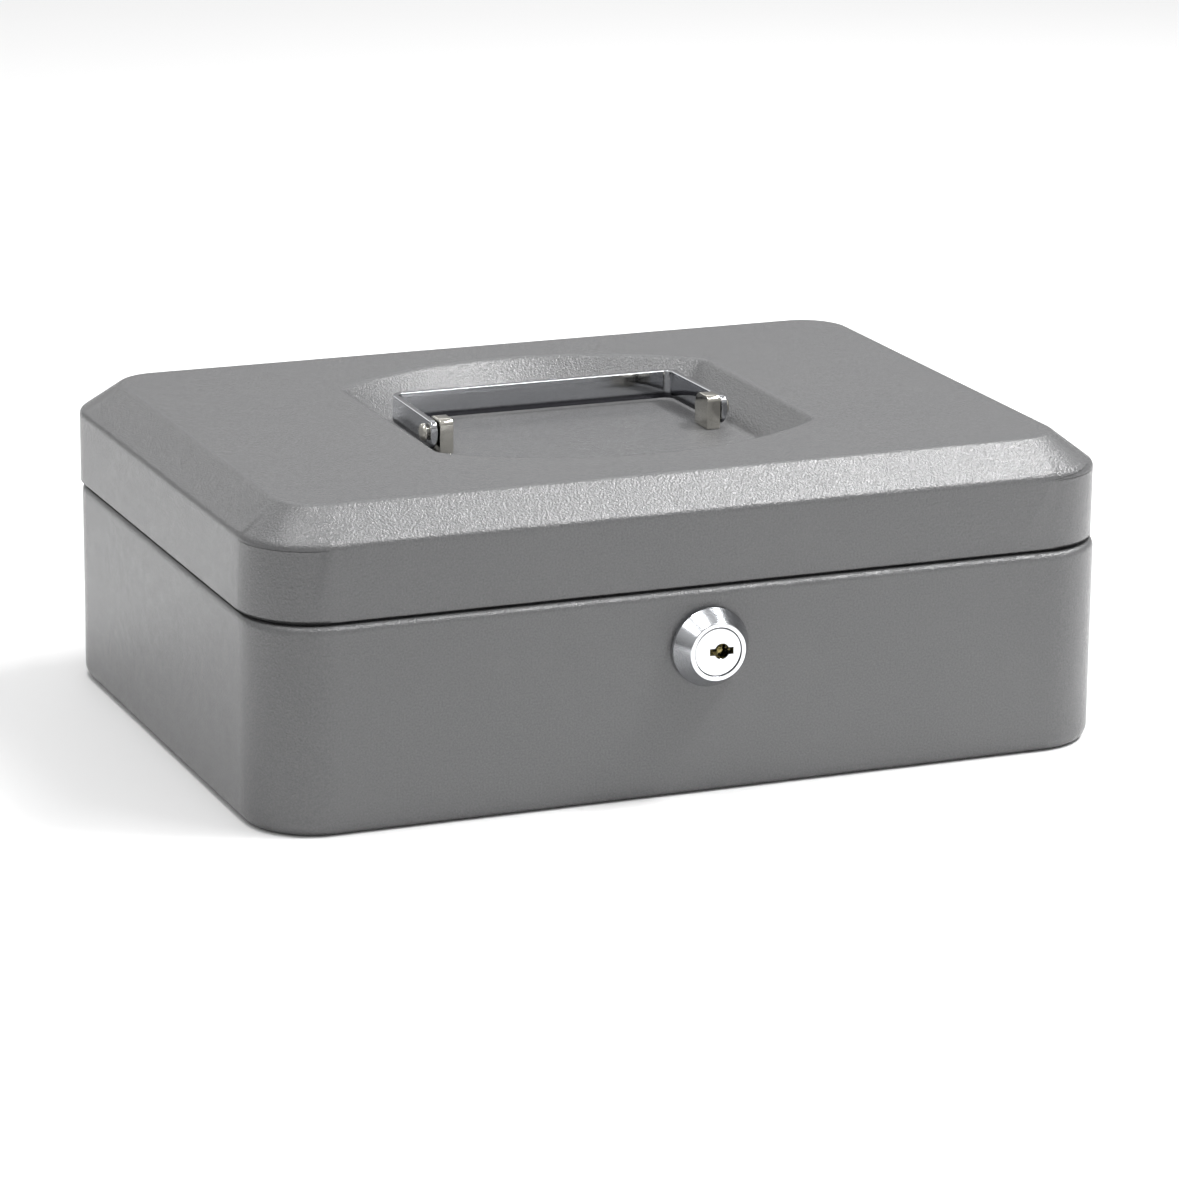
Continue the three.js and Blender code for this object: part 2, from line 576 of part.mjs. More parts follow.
function makeHinges() {
  const baseLeafY = [WALL_REAR + LEAF_STANDS_OFF, WALL_REAR + LEAF_STANDS_OFF + LEAF];
  const lidLeafY = [LID_REAR + LEAF_STANDS_OFF, LID_REAR + LEAF_STANDS_OFF + LEAF];
  const web = polygon([
    [baseLeafY[0], 52.5], [baseLeafY[1], 52.5], [HINGE_Y + 0.9, 55.8], [HINGE_Y, HINGE_Z],
    [HINGE_Y - 2.1, HINGE_Z],
  ]);
  for (const [name, centre] of [["left", -HINGE_X], ["right", HINGE_X]]) {
    const knuckles = [
      [centre - HINGE_HALF, centre - KNUCKLE_HALF - 0.4],
      [centre + KNUCKLE_HALF + 0.4, centre + HINGE_HALF],
    ];
    const middle = [centre - KNUCKLE_HALF, centre + KNUCKLE_HALF];
    const width = [centre - HINGE_HALF, centre + HINGE_HALF];
    const through = [centre - HINGE_HALF - 5, centre + HINGE_HALF + 5];
    const pinBore = rodX(HINGE_PIN_R + GAP, through, HINGE_Y, HINGE_Z, 12);

    let baseLeaf = block(width, baseLeafY, BASE_LEAF_Z);
    for (const ends of knuckles) {
      baseLeaf = baseLeaf.add(acrossX(web, ends)).add(rodX(KNUCKLE_R, ends, HINGE_Y, HINGE_Z, 16));
    }
    let lidLeaf = block(width, lidLeafY, LID_LEAF_Z)
      .add(block(middle, lidLeafY, [HINGE_Z, LID_LEAF_Z[0] + 1]))
      .add(rodX(KNUCKLE_R, middle, HINGE_Y, HINGE_Z, 16));
    for (const x of [centre - RIVET_SPREAD, centre + RIVET_SPREAD]) {
      const holeY = [WALL_REAR - 1, HINGE_Y];
      baseLeaf = baseLeaf.subtract(rodY(RIVET_R + GAP, holeY, x, BASE_RIVET_Z, 10));
      lidLeaf = lidLeaf.subtract(rodY(RIVET_R + GAP, holeY, x, LID_RIVET_Z, 10));
    }
    addPiece("hinge_base_leaf_" + name, baseLeaf.subtract(pinBore), COAT);
    addPiece("hinge_lid_leaf_" + name, lidLeaf.subtract(pinBore), COAT);
    addPiece("hinge_pin_" + name, hingePin().translate([centre, 0, 0]), ZINC);
  }
  rivetPlaces().forEach((x, i) => {
    addPiece("base_rivet_" + (i + 1), rivet(baseLeafY[1], WALL_REAR - SHEET, x, BASE_RIVET_Z), ZINC);
    addPiece("lid_rivet_" + (i + 1), rivet(lidLeafY[1], LID_REAR - SHEET, x, LID_RIVET_Z), ZINC);
  });
}

// ---- coin tray ----
function makeTray() {
  const [front, rear] = TRAY_Y;
  const rimSide = WIDTH / 2 - LIP_IN - SHEET - 1;
  const plan = (halfX, ends, radius) => polygon(roundedRect(halfX, ends, radius).map((p) => [p.x, p.y]));
  const pocket = ([x0, x1], ends) => {
    const outline = roundedRect((x1 - x0) / 2, ends, 5).map((p) => [p.x + (x0 + x1) / 2, p.y]);
    return upZ(polygon(outline), [TRAY_BOTTOM_Z + TRAY_WALL, TRAY_RIM_Z[1] + 1]);
  };
  let tray = upZ(plan(TRAY_X, TRAY_Y, 8), [TRAY_BOTTOM_Z, TRAY_RIM_Z[1]])
    .add(upZ(plan(rimSide, [front - TRAY_RIM, rear + TRAY_RIM - 0.4], 16), TRAY_RIM_Z));
  const inner = TRAY_X - TRAY_WALL;
  const cupPitch = (2 * inner + TRAY_WALL) / COIN_CUPS;
  for (let i = 0; i < COIN_CUPS; i++) {
    const left = -inner + i * cupPitch;
    tray = tray.subtract(pocket([left, left + cupPitch - TRAY_WALL], [front + TRAY_WALL, CUP_REAR_Y]));
  }
  const split = -inner + 3 * cupPitch;
  for (const across of [[-inner, split - TRAY_WALL], [split, inner]]) {
    tray = tray.subtract(pocket(across, [CUP_REAR_Y + TRAY_WALL, rear - TRAY_WALL]));
  }
  addPiece("coin_tray", tray, PLASTIC);

  const wall = WIDTH / 2 - SHEET - GAP;
  const top = TRAY_RIM_Z[0] - GAP;
  const bottom = top - 7;
  const angle = polygon([
    [wall, bottom], [wall, top - 1.2], [wall - 1.2, top], [114, top], [114, top - 1], [wall - 1.6, top - 1],
    [wall - 1, top - 1.6], [wall - 1, bottom],
  ]);
  const rail = acrossY(angle, [-RAIL_HALF_LENGTH, RAIL_HALF_LENGTH]);
  addPiece("tray_rail_right", rail, ZINC);
  addPiece("tray_rail_left", rail.mirror([1, 0, 0]), ZINC);
}

makeBase();
makeLid();
makeBail();
makeLugs();
makeLockCase();
makePlug();
makeCatch();
makeHinges();
makeTray();

export default box;
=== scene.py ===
"""Looks for the steel cash box: pressed shells, plated handle and lock, finishes, studio light.

Every length is in metres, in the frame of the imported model: the origin is the centre of the underside,
+X runs right along the front, +Y to the rear and +Z up.
"""

import json
import math

import bmesh
import bpy
from mathutils import Matrix, Vector


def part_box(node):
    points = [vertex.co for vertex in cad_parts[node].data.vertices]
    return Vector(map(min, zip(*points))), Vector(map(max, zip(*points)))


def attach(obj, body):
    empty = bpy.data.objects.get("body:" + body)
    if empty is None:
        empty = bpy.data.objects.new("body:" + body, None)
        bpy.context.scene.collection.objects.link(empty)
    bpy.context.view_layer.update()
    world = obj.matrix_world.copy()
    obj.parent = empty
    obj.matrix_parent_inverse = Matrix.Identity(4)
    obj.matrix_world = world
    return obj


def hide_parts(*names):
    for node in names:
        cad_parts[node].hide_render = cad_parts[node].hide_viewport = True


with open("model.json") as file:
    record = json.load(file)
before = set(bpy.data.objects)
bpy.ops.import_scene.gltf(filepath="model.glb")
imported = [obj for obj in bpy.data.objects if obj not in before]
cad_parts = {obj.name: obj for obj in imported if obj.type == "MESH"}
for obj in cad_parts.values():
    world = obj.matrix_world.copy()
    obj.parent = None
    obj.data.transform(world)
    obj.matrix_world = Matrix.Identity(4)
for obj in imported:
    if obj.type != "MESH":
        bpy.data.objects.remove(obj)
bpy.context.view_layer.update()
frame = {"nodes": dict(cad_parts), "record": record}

MM = 0.001
SMOOTH_ANGLE = 32
BEVELLED_SMOOTH_ANGLE = 40
WELD_DISTANCE = 1e-7
AXIS_RADIUS = 1e-8


# ---- camera ----
CAMERA_PLACE = Vector((-0.51666, -1.2587, 0.4199))
CAMERA_RIGHT = Vector((0.92523, -0.379282, 0.009709))
CAMERA_UP = Vector((0.094962, 0.256278, 0.961927))
CAMERA_LENS = 151.1
CAMERA_SENSOR = 36.0


def make_camera():
    """A camera at the photograph's place and angle, found by a fit to the straight edges of the box."""
    data = bpy.data.cameras.new("photo_camera")
    data.lens = CAMERA_LENS
    data.sensor_width = CAMERA_SENSOR
    data.clip_start = 0.05
    data.clip_end = 50
    camera = bpy.data.objects.new("photo_camera", data)
    back = CAMERA_RIGHT.cross(CAMERA_UP)
    axes = Matrix((CAMERA_RIGHT, CAMERA_UP, back)).transposed()
    camera.matrix_world = Matrix.Translation(CAMERA_PLACE) @ axes.to_4x4()
    bpy.context.scene.collection.objects.link(camera)
    bpy.context.scene.camera = camera


# ---- materials ----
# The Mix node has a set of sockets for each type of data. These are the colour set's places.
COLOUR_A = 6
COLOUR_RESULT = 2


class Shader:
    """A node material on object coordinates, with short calls for the nodes that the finishes share."""

    def __init__(self, name, **surface):
        self.material = bpy.data.materials.new(name)
        self.material.use_nodes = True
        self.tree = self.material.node_tree
        self.surface = self.tree.nodes["Principled BSDF"]
        for socket, value in surface.items():
            self.surface.inputs[socket.replace("_", " ")].default_value = value
        self.place = self.tree.nodes.new("ShaderNodeTexCoord").outputs["Object"]

    def add(self, kind, **inputs):
        """A new node, each input given as a value or as another node's output."""
        node = self.tree.nodes.new("ShaderNode" + kind)
        for socket, value in inputs.items():
            self.feed(node.inputs[socket.replace("_", " ")], value)
        return node

    def feed(self, socket, value):
        if isinstance(value, bpy.types.NodeSocket):
            self.tree.links.new(value, socket)
        else:
            socket.default_value = value

    def stretched(self, scale):
        """The object coordinates scaled along each axis."""
        return self.add("Mapping", Vector=self.place, Scale=scale).outputs["Vector"]

    def noise(self, scale, detail=2.0, roughness=0.5, place=None):
        """Noise over the object coordinates, with its scale in features per metre."""
        place = place or self.place
        node = self.add("TexNoise", Vector=place, Scale=scale, Detail=detail, Roughness=roughness)
        return node.outputs["Fac"]

    def ramp(self, value, stops):
        """Maps a value through (position, grey or colour) stops."""
        node = self.add("ValToRGB", Fac=value)
        elements = node.color_ramp.elements
        while len(elements) < len(stops):
            elements.new(0.5)
        for element, (position, colour) in zip(elements, stops):
            element.position = position
            grey = isinstance(colour, (int, float))
            element.color = (colour, colour, colour, 1) if grey else (*colour, 1)
        return node.outputs["Color"]

    def mix(self, share, first, second):
        """A colour between two others."""
        node = self.add("Mix")
        node.data_type = "RGBA"
        self.feed(node.inputs["Factor"], share)
        for socket, colour in zip(node.inputs[COLOUR_A:], (first, second)):
            self.feed(socket, colour if isinstance(colour, bpy.types.NodeSocket) else (*colour, 1))
        return node.outputs[COLOUR_RESULT]

    def maths(self, operation, first, second):
        node = self.tree.nodes.new("ShaderNodeMath")
        node.operation = operation
        self.feed(node.inputs[0], first)
        self.feed(node.inputs[1], second)
        return node.outputs["Value"]

    def colour(self, value):
        self.feed(self.surface.inputs["Base Color"], value)

    def roughness(self, value):
        self.feed(self.surface.inputs["Roughness"], value)

    def bump(self, height, distance, strength=1.0):
        node = self.add("Bump", Height=height, Distance=distance, Strength=strength)
        self.feed(self.surface.inputs["Normal"], node.outputs["Normal"])


def grey_coating():
    """Satin grey powder coating: fine orange-peel grain, faint mottling, a few rubbed places."""
    s = Shader("grey_powder_coating", Metallic=0.0, IOR=1.52)
    mottle = s.noise(28, 3, 0.6)
    fleck = s.ramp(s.noise(1900, 2, 0.6), [(0.35, 0.0), (0.75, 1.0)])
    rubbed = s.ramp(s.noise(55, 6, 0.72), [(0.62, 0.0), (0.78, 0.12)])
    body = s.mix(mottle, (0.102, 0.103, 0.106), (0.116, 0.116, 0.118))
    flecked = s.mix(fleck, body, (0.138, 0.138, 0.14))
    s.colour(s.mix(rubbed, flecked, (0.2, 0.2, 0.2)))
    s.roughness(s.ramp(s.noise(420, 3, 0.6), [(0.3, 0.19), (0.75, 0.27)]))
    peel = s.noise(1600, 2.0, 0.6)
    broad = s.noise(420, 1.0, 0.5)
    s.bump(s.maths("ADD", peel, s.maths("MULTIPLY", broad, 0.2)), 0.00024, 1.0)
    return s.material


def handling_marks(s, dull):
    """Light scuffs in a bright plating's gloss, and a trace of waviness."""
    s.roughness(s.ramp(s.noise(700, 4, 0.7), [(0.35, dull), (0.8, dull + 0.1)]))
    s.bump(s.noise(260, 2, 0.5), 0.00001, 0.5)


def chrome(name="chrome_plating", tint=(0.82, 0.83, 0.85), dull=0.06):
    """Bright plating: nearly a mirror, with light handling marks."""
    s = Shader(name, Metallic=1.0)
    s.colour(s.mix(s.noise(90, 3, 0.6), tint, tuple(0.9 * c for c in tint)))
    handling_marks(s, dull)
    return s.material


def handle_chrome():
    """The handle strip's plating, with painted shade: a dark band along its lower edge."""
    s = Shader("handle_chrome_plating", Metallic=1.0)
    over_strip = s.add("TexCoord").outputs["Generated"]
    height = s.add("SeparateXYZ", Vector=over_strip).outputs["Z"]
    ragged = s.maths("ADD", height, s.maths("MULTIPLY", s.noise(1500, 2, 0.6), 0.08))
    # Painted shade: the lowest part of the strip is painted nearly black, standing in for the shadowed
    # floor under the strip that it would reflect.
    painted_shade_band = s.ramp(ragged, [(0.24, 1.0), (0.32, 0.0)])
    bright = s.mix(s.noise(90, 3, 0.6), (0.58, 0.59, 0.61), (0.52, 0.53, 0.55))
    s.colour(s.mix(painted_shade_band, bright, (0.1, 0.1, 0.11)))
    handling_marks(s, 0.05)
    return s.material


def shaded_turned_chrome():
    """Chrome over fine turning marks that draw reflections into radial streaks, darkened as painted
    shade.
    """
    s = Shader("turned_chrome_plating", Metallic=1.0, Anisotropic=0.7)
    s.colour(s.mix(s.noise(90, 3, 0.6), (0.56, 0.57, 0.59), (0.48, 0.49, 0.51)))
    s.roughness(s.ramp(s.noise(1200, 3, 0.6), [(0.35, 0.14), (0.8, 0.22)]))
    tangent = s.add("Tangent")
    tangent.direction_type = "RADIAL"
    tangent.axis = "Y"
    s.feed(s.surface.inputs["Tangent"], tangent.outputs["Tangent"])
    return s.material


def zinc():
    """Zinc-plated steel: cool grey with cloudy patches and a fine rolled grain."""
    s = Shader("zinc_plating", Metallic=1.0)
    s.colour(s.mix(s.noise(160, 4, 0.65), (0.5, 0.52, 0.54), (0.66, 0.66, 0.64)))
    grain = s.noise(900, 3, 0.6, s.stretched((1, 0.15, 1)))
    s.roughness(s.ramp(grain, [(0.3, 0.26), (0.75, 0.44)]))
    s.bump(grain, 0.00002, 0.6)
    return s.material


def brass():
    """Plain turned brass, slightly tarnished."""
    s = Shader("brass", Metallic=1.0)
    s.colour(s.mix(s.noise(1200, 3, 0.6), (0.36, 0.3, 0.13), (0.2, 0.165, 0.07)))
    s.roughness(s.ramp(s.noise(2500, 2, 0.5), [(0.3, 0.18), (0.8, 0.38)]))
    return s.material


def tray_plastic():
    """Black moulded plastic with a fine spark-eroded grain."""
    s = Shader("black_tray_plastic", Metallic=0.0, IOR=1.48)
    s.colour(s.mix(s.noise(60, 3, 0.6), (0.014, 0.014, 0.015), (0.024, 0.024, 0.026)))
    grain = s.noise(1600, 3, 0.65)
    s.roughness(s.ramp(grain, [(0.3, 0.42), (0.75, 0.6)]))
    s.bump(grain, 0.00006, 0.6)
    return s.material


FINISHES = {
    "grey_coating": grey_coating(),
    "chrome": chrome(),
    "nickel": chrome("nickel_plating", (0.68, 0.66, 0.6), 0.1),
    "zinc_steel": zinc(),
    "brass": brass(),
    "tray_plastic": tray_plastic(),
}
SHADED_TURNED_CHROME = shaded_turned_chrome()
HANDLE_CHROME = handle_chrome()
SLOT_OF = {row["node"]: row["material_slot"] for row in frame["record"]["subparts"]}


# ---- mesh helpers ----
def on_axis(axis, u, v, along):
    """A point from its place along one axis and its other two coordinates, in X, Y, Z order."""
    return {"X": (along, u, v), "Y": (u, along, v), "Z": (u, v, along)}[axis]


def arc(x, y, radius, start, end, steps):
    """Points on an arc, both ends included."""
    angles = [start + (end - start) * i / steps for i in range(steps + 1)]
    return [(x + radius * math.cos(a), y + radius * math.sin(a)) for a in angles]


def between(start, end, steps, margin):
    """Points strictly between two others: one close to each end and the rest evenly spread."""
    start, end = Vector(start), Vector(end)
    near = min(margin / (end - start).length, 0.25)
    shares = [near] + [near + (1 - 2 * near) * i / steps for i in range(1, steps)] + [1 - near]
    return [tuple(start.lerp(end, share)) for share in shares]


def filleted(corners, steps=6, margin=0.25 * MM):
    """A path through corners [(point, radius)], rounded by arcs with a point close to either end."""
    path = [Vector(corners[0][0])]
    for (before, _), (corner, radius), (after, _) in zip(corners, corners[1:], corners[2:]):
        before, corner, after = Vector(before), Vector(corner), Vector(after)
        into, out = (corner - before).normalized(), (after - corner).normalized()
        turn = into.angle(out)
        reach = radius * math.tan(turn / 2)
        centre = corner + (out - into).normalized() * (radius / math.cos(turn / 2))
        first, last = corner - into * reach - centre, corner + out * reach - centre
        path.append(centre + first - into * min(margin, reach / 2))
        pieces = max(2, round(steps * turn / (math.pi / 2)) + 1)
        for i in range(pieces + 1):
            share = i / pieces
            swung = first * math.sin((1 - share) * turn) + last * math.sin(share * turn)
            path.append(centre + swung / math.sin(turn))
        path.append(centre + last + out * min(margin, reach / 2))
    path.append(Vector(corners[-1][0]))
    return path


def rectangle(x, y, half_x, half_y):
    """A rectangle about (x, y), anticlockwise from its lower left corner."""
    return [(x - half_x, y - half_y), (x + half_x, y - half_y),
            (x + half_x, y + half_y), (x - half_x, y + half_y)]


def rounded_rectangle(x0, x1, y0, y1, radius, steps):
    """A rounded rectangle with points only in its corners, anticlockwise from its right edge."""
    centres = [(x1 - radius, y1 - radius), (x0 + radius, y1 - radius),
               (x0 + radius, y0 + radius), (x1 - radius, y0 + radius)]
    return [point for quarter, (x, y) in enumerate(centres)
            for point in arc(x, y, radius, quarter * math.pi / 2, (quarter + 1) * math.pi / 2, steps)]


def new_mesh(name, vertices, faces):
    """A shaded mesh object from points and faces, with doubled points merged."""
    data = bpy.data.meshes.new(name)
    data.from_pydata([tuple(v) for v in vertices], [], faces)
    made = bmesh.new()
    made.from_mesh(data)
    bmesh.ops.remove_doubles(made, verts=made.verts, dist=WELD_DISTANCE)
    bmesh.ops.recalc_face_normals(made, faces=made.faces)
    made.to_mesh(data)
    made.free()
    shade(data)
    piece = bpy.data.objects.new(name, data)
    bpy.context.scene.collection.objects.link(piece)
    return piece


def shade(data, smooth_angle=SMOOTH_ANGLE):
    """Smooth shading, with edges over the angle in degrees kept sharp."""
    data.shade_smooth()
    data.set_sharp_from_angle(angle=math.radians(smooth_angle))


def loft(name, rings, closed=False):
    """A surface through rings of equal length: capped at both ends, or closed last to first."""
    count = len(rings[0])
    vertices = [point for ring in rings for point in ring]
    bands = len(rings) if closed else len(rings) - 1
    faces = []
    for band in range(bands):
        low, high = band * count, (band + 1) % len(rings) * count
        for i in range(count):
            j = (i + 1) % count
            faces.append((low + i, low + j, high + j, high + i))
    if not closed:
        faces.append(tuple(range(count))[::-1])
        faces.append(tuple(range((len(rings) - 1) * count, len(rings) * count)))
    return new_mesh(name, vertices, faces)


def turned(name, profile, centre, axis, steps, closed=False):
    """A profile of (radius, distance along the axis) turned about a line through centre."""
    rings = []
    for radius, along in profile:
        circle = arc(0, 0, max(radius, AXIS_RADIUS), 0, 2 * math.pi, steps)[:-1]
        rings.append([Vector(on_axis(axis, u, v, along)) + Vector(centre) for u, v in circle])
    return loft(name, rings, closed)


def dome(radius, start, height, angles):
    """The profile of a rounded head, from its rim at start up to its crown."""
    return [(radius * math.cos(a), start + height * math.sin(a)) for a in angles]


def prism(name, outline, axis, low, high, bevel):
    """An outline drawn out along an axis from low to high, with its edges broken by a small bevel."""
    piece = loft(name, [[on_axis(axis, u, v, along) for u, v in outline] for along in (low, high)])
    if not bevel:
        return piece
    made = bmesh.new()
    made.from_mesh(piece.data)
    sharp = [edge for edge in made.edges
             if len(edge.link_faces) == 2 and edge.calc_face_angle() > math.radians(SMOOTH_ANGLE)]
    bmesh.ops.bevel(made, geom=sharp, offset=bevel, segments=3, profile=0.5, affect="EDGES",
                    clamp_overlap=True)
    made.to_mesh(piece.data)
    made.free()
    shade(piece.data, BEVELLED_SMOOTH_ANGLE)
    return piece


def combine(piece, tool, operation):
    """Joins or cuts one mesh by another and keeps the result as the piece's own mesh."""
    modifier = piece.modifiers.new("combine", "BOOLEAN")
    modifier.object = tool
    modifier.operation = operation
    modifier.solver = "EXACT"
    evaluated = piece.evaluated_get(bpy.context.evaluated_depsgraph_get())
    result = bpy.data.meshes.new_from_object(evaluated)
    piece.modifiers.clear()
    old = piece.data
    piece.data = result
    bpy.data.meshes.remove(old)
    bpy.data.objects.remove(tool, do_unlink=True)
    result.name = piece.name
    shade(result)
    return piece


def finish_piece(piece, body, slot, *nodes):
    """Gives a piece its finish, its body and the CAD nodes it stands for."""
    piece.data.materials.clear()
    piece.data.materials.append(FINISHES[slot])
    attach(piece, body)
    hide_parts(*nodes)
    return piece


# ---- shells ----
SHEET = 1.0 * MM
BASE_LOW, BASE_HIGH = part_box("base_shell")
LID_LOW, LID_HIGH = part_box("lid_shell")
COLLAR_LOW, COLLAR_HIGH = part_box("lock_collar")
LOCK_X = (COLLAR_LOW.x + COLLAR_HIGH.x) / 2
LOCK_Z = (COLLAR_LOW.z + COLLAR_HIGH.z) / 2
LOCK_HOLE_R = 8.1 * MM
CORNER_R = 20 * MM
TOP_CORNER_R = 13 * MM
SMALLEST_CORNER_R = 8 * MM
CHAMFER_IN = 10.8 * MM
CHAMFER_Z = LID_HIGH.z - 8.5 * MM
SHOULDER_Z = 57.5 * MM
LIP_SIDE_IN = 2.2 * MM
LIP_FRONT_IN = 3.8 * MM
CUT_EDGE_R = 0.45 * MM
CORNER_STEPS = 14
LONG_STEPS = 20
SHORT_STEPS = 12
EDGE_MARGIN = 0.8 * MM


def join_corners(arcs, sides):
    """One closed outline from four corner arcs and the points between them."""
    return [point for pair in zip(arcs, sides) for part in pair for point in part]


def shell_outline(half_x, front, rear, radius):
    """A rounded rectangle about X = 0 with points along its sides too, from its rear right corner."""
    centres = [(half_x - radius, rear - radius), (radius - half_x, rear - radius),
               (radius - half_x, front + radius), (half_x - radius, front + radius)]
    arcs = [arc(x, y, radius, quarter * math.pi / 2, (quarter + 1) * math.pi / 2, CORNER_STEPS)
            for quarter, (x, y) in enumerate(centres)]
    sides = [between(arcs[i][-1], arcs[(i + 1) % 4][0], steps, EDGE_MARGIN)
             for i, steps in enumerate((LONG_STEPS, SHORT_STEPS, LONG_STEPS, SHORT_STEPS))]
    return join_corners(arcs, sides)


def at_height(outline, z):
    return [Vector((x, y, z)) for x, y in outline]


def base_ring(side_in, front_in, z):
    """The base's outline at height z, moved in from its sides and rear, and from its front."""
    half_x = BASE_HIGH.x - side_in
    outline = shell_outline(half_x, BASE_LOW.y + front_in, BASE_HIGH.y - side_in, CORNER_R - side_in)
    return at_height(outline, z)


def make_base_shell():
    """The deep pan: rounded floor bend, plain walls, rolled shoulder and the lip under the lid."""
    inner_side, inner_front = LIP_SIDE_IN + SHEET, LIP_FRONT_IN + SHEET
    floor_edge, floor_bend, shoulder_bend = 12 * MM, 4 * MM, 2 * MM
    section = filleted([
        ((floor_edge, floor_edge, 0), 0),
        ((0, 0, 0), floor_bend),
        ((0, 0, SHOULDER_Z), shoulder_bend),
        ((LIP_SIDE_IN, LIP_FRONT_IN, SHOULDER_Z), 0.15 * MM),
        ((LIP_SIDE_IN, LIP_FRONT_IN, BASE_HIGH.z), CUT_EDGE_R),
        ((inner_side, inner_front, BASE_HIGH.z), CUT_EDGE_R),
        ((inner_side, inner_front, SHOULDER_Z - SHEET), 0.3 * MM),
        ((SHEET, SHEET, SHOULDER_Z - SHEET), shoulder_bend - SHEET),
        ((SHEET, SHEET, SHEET), floor_bend - SHEET),
        ((floor_edge, floor_edge, SHEET), 0),
    ], margin=0.2 * MM)
    shell = loft("base_shell_fine", [base_ring(*point) for point in section])
    before_wall, behind_wall = -100 * MM, -80 * MM
    hole = [(0, before_wall), (LOCK_HOLE_R, before_wall), (LOCK_HOLE_R, behind_wall), (0, behind_wall)]
    combine(shell, turned("hole", hole, (LOCK_X, 0, LOCK_Z), "Y", 48), "DIFFERENCE")
    finish_piece(shell, "base", "grey_coating", "base_shell")


# The sunk handle recess: straight sides, bowed front and rear, filleted corners and a sloping wall.
RECESS_CENTRE_Y = 3.2 * MM
RECESS_HALF_WIDTH = 56.6 * MM
RECESS_HALF_DEPTH = 59.6 * MM
RECESS_BOW_R = 86 * MM
RECESS_FILLET_R = 6 * MM
RECESS_DEPTH = 10 * MM
RECESS_WALL_RUN = 9.3 * MM


def recess_ring(grow, z):
    """The recess's outline at height z, moved outwards by grow."""
    side = RECESS_HALF_WIDTH + grow - RECESS_FILLET_R
    bow = RECESS_BOW_R + grow
    bow_centre = RECESS_HALF_DEPTH - RECESS_BOW_R
    fillet_y = math.sqrt((bow - RECESS_FILLET_R) ** 2 - side**2)
    turn = math.atan2(fillet_y, side)
    halves = []
    for sign in (1, -1):
        right = arc(side, fillet_y + bow_centre, RECESS_FILLET_R, 0, turn, CORNER_STEPS)
        left = arc(-side, fillet_y + bow_centre, RECESS_FILLET_R, math.pi - turn, math.pi,
                   CORNER_STEPS)
        over = arc(0, bow_centre, bow, turn, math.pi - turn, LONG_STEPS + 1)[1:-1]
        halves.append([[(sign * x, sign * y) for x, y in part] for part in (right, over, left)])
    (right, rear, left), (front_left, front, front_right) = halves
    arcs = [right, left, front_left, front_right]
    sides = [rear, between(left[-1], front_left[0], SHORT_STEPS, EDGE_MARGIN), front,
             between(front_right[-1], right[0], SHORT_STEPS, EDGE_MARGIN)]
    return at_height([(x, y + RECESS_CENTRE_Y) for x, y in join_corners(arcs, sides)], z)


def lid_ring(inset, z):
    """The lid's outline at height z, moved in by inset, with corners that tighten up the slope."""
    shrink = (CORNER_R - TOP_CORNER_R) / CHAMFER_IN
    radius = max(CORNER_R - shrink * inset, SMALLEST_CORNER_R)
    half_x = LID_HIGH.x - inset
    return at_height(shell_outline(half_x, LID_LOW.y + inset, LID_HIGH.y - inset, radius), z)


def make_lid_shell():
    """The lid: skirt, sloping band, flat top and sunk recess, pressed from one sheet."""
    top, floor = LID_HIGH.z, LID_HIGH.z - RECESS_DEPTH
    band_r, rim_r, floor_r = 2.2 * MM, 2.4 * MM, 2.6 * MM
    wall_foot = -RECESS_WALL_RUN
    floor_edge, top_edge, band_edge = wall_foot - 12 * MM, 5 * MM, CHAMFER_IN + 6 * MM
    wall_offset = 0.45 * SHEET
    outer_recess = filleted([
        ((floor_edge, floor), 0),
        ((wall_foot, floor), floor_r),
        ((0, top), rim_r),
        ((top_edge, top), 0),
    ])
    outer_rim = filleted([
        ((band_edge, top), 0),
        ((CHAMFER_IN, top), band_r),
        ((0, CHAMFER_Z), band_r),
        ((0, LID_LOW.z), CUT_EDGE_R),
        ((SHEET, LID_LOW.z), CUT_EDGE_R),
        ((SHEET, CHAMFER_Z - 0.5 * SHEET), band_r - SHEET),
        ((CHAMFER_IN + 0.35 * SHEET, top - SHEET), band_r - SHEET),
        ((band_edge, top - SHEET), 0),
    ])
    inner_recess = filleted([
        ((top_edge, top - SHEET), 0),
        ((wall_offset, top - SHEET), rim_r - SHEET),
        ((wall_foot + wall_offset, floor - SHEET), floor_r),
        ((floor_edge, floor - SHEET), 0),
    ])
    rings = [recess_ring(grow, z) for grow, z in outer_recess]
    rings += [lid_ring(inset, z) for inset, z in outer_rim]
    rings += [recess_ring(grow, z) for grow, z in inner_recess]
    finish_piece(loft("lid_shell_fine", rings), "lid", "grey_coating", "lid_shell")


# ---- handle ----
BAIL_THICKNESS = 1.8 * MM
BAIL_REAR_HALF = 44.3 * MM
BAIL_BEND_R = 4 * MM
LEG_LOW_CORNER_R = 3 * MM
LEG_HIGH_CORNER_R = 2.2 * MM


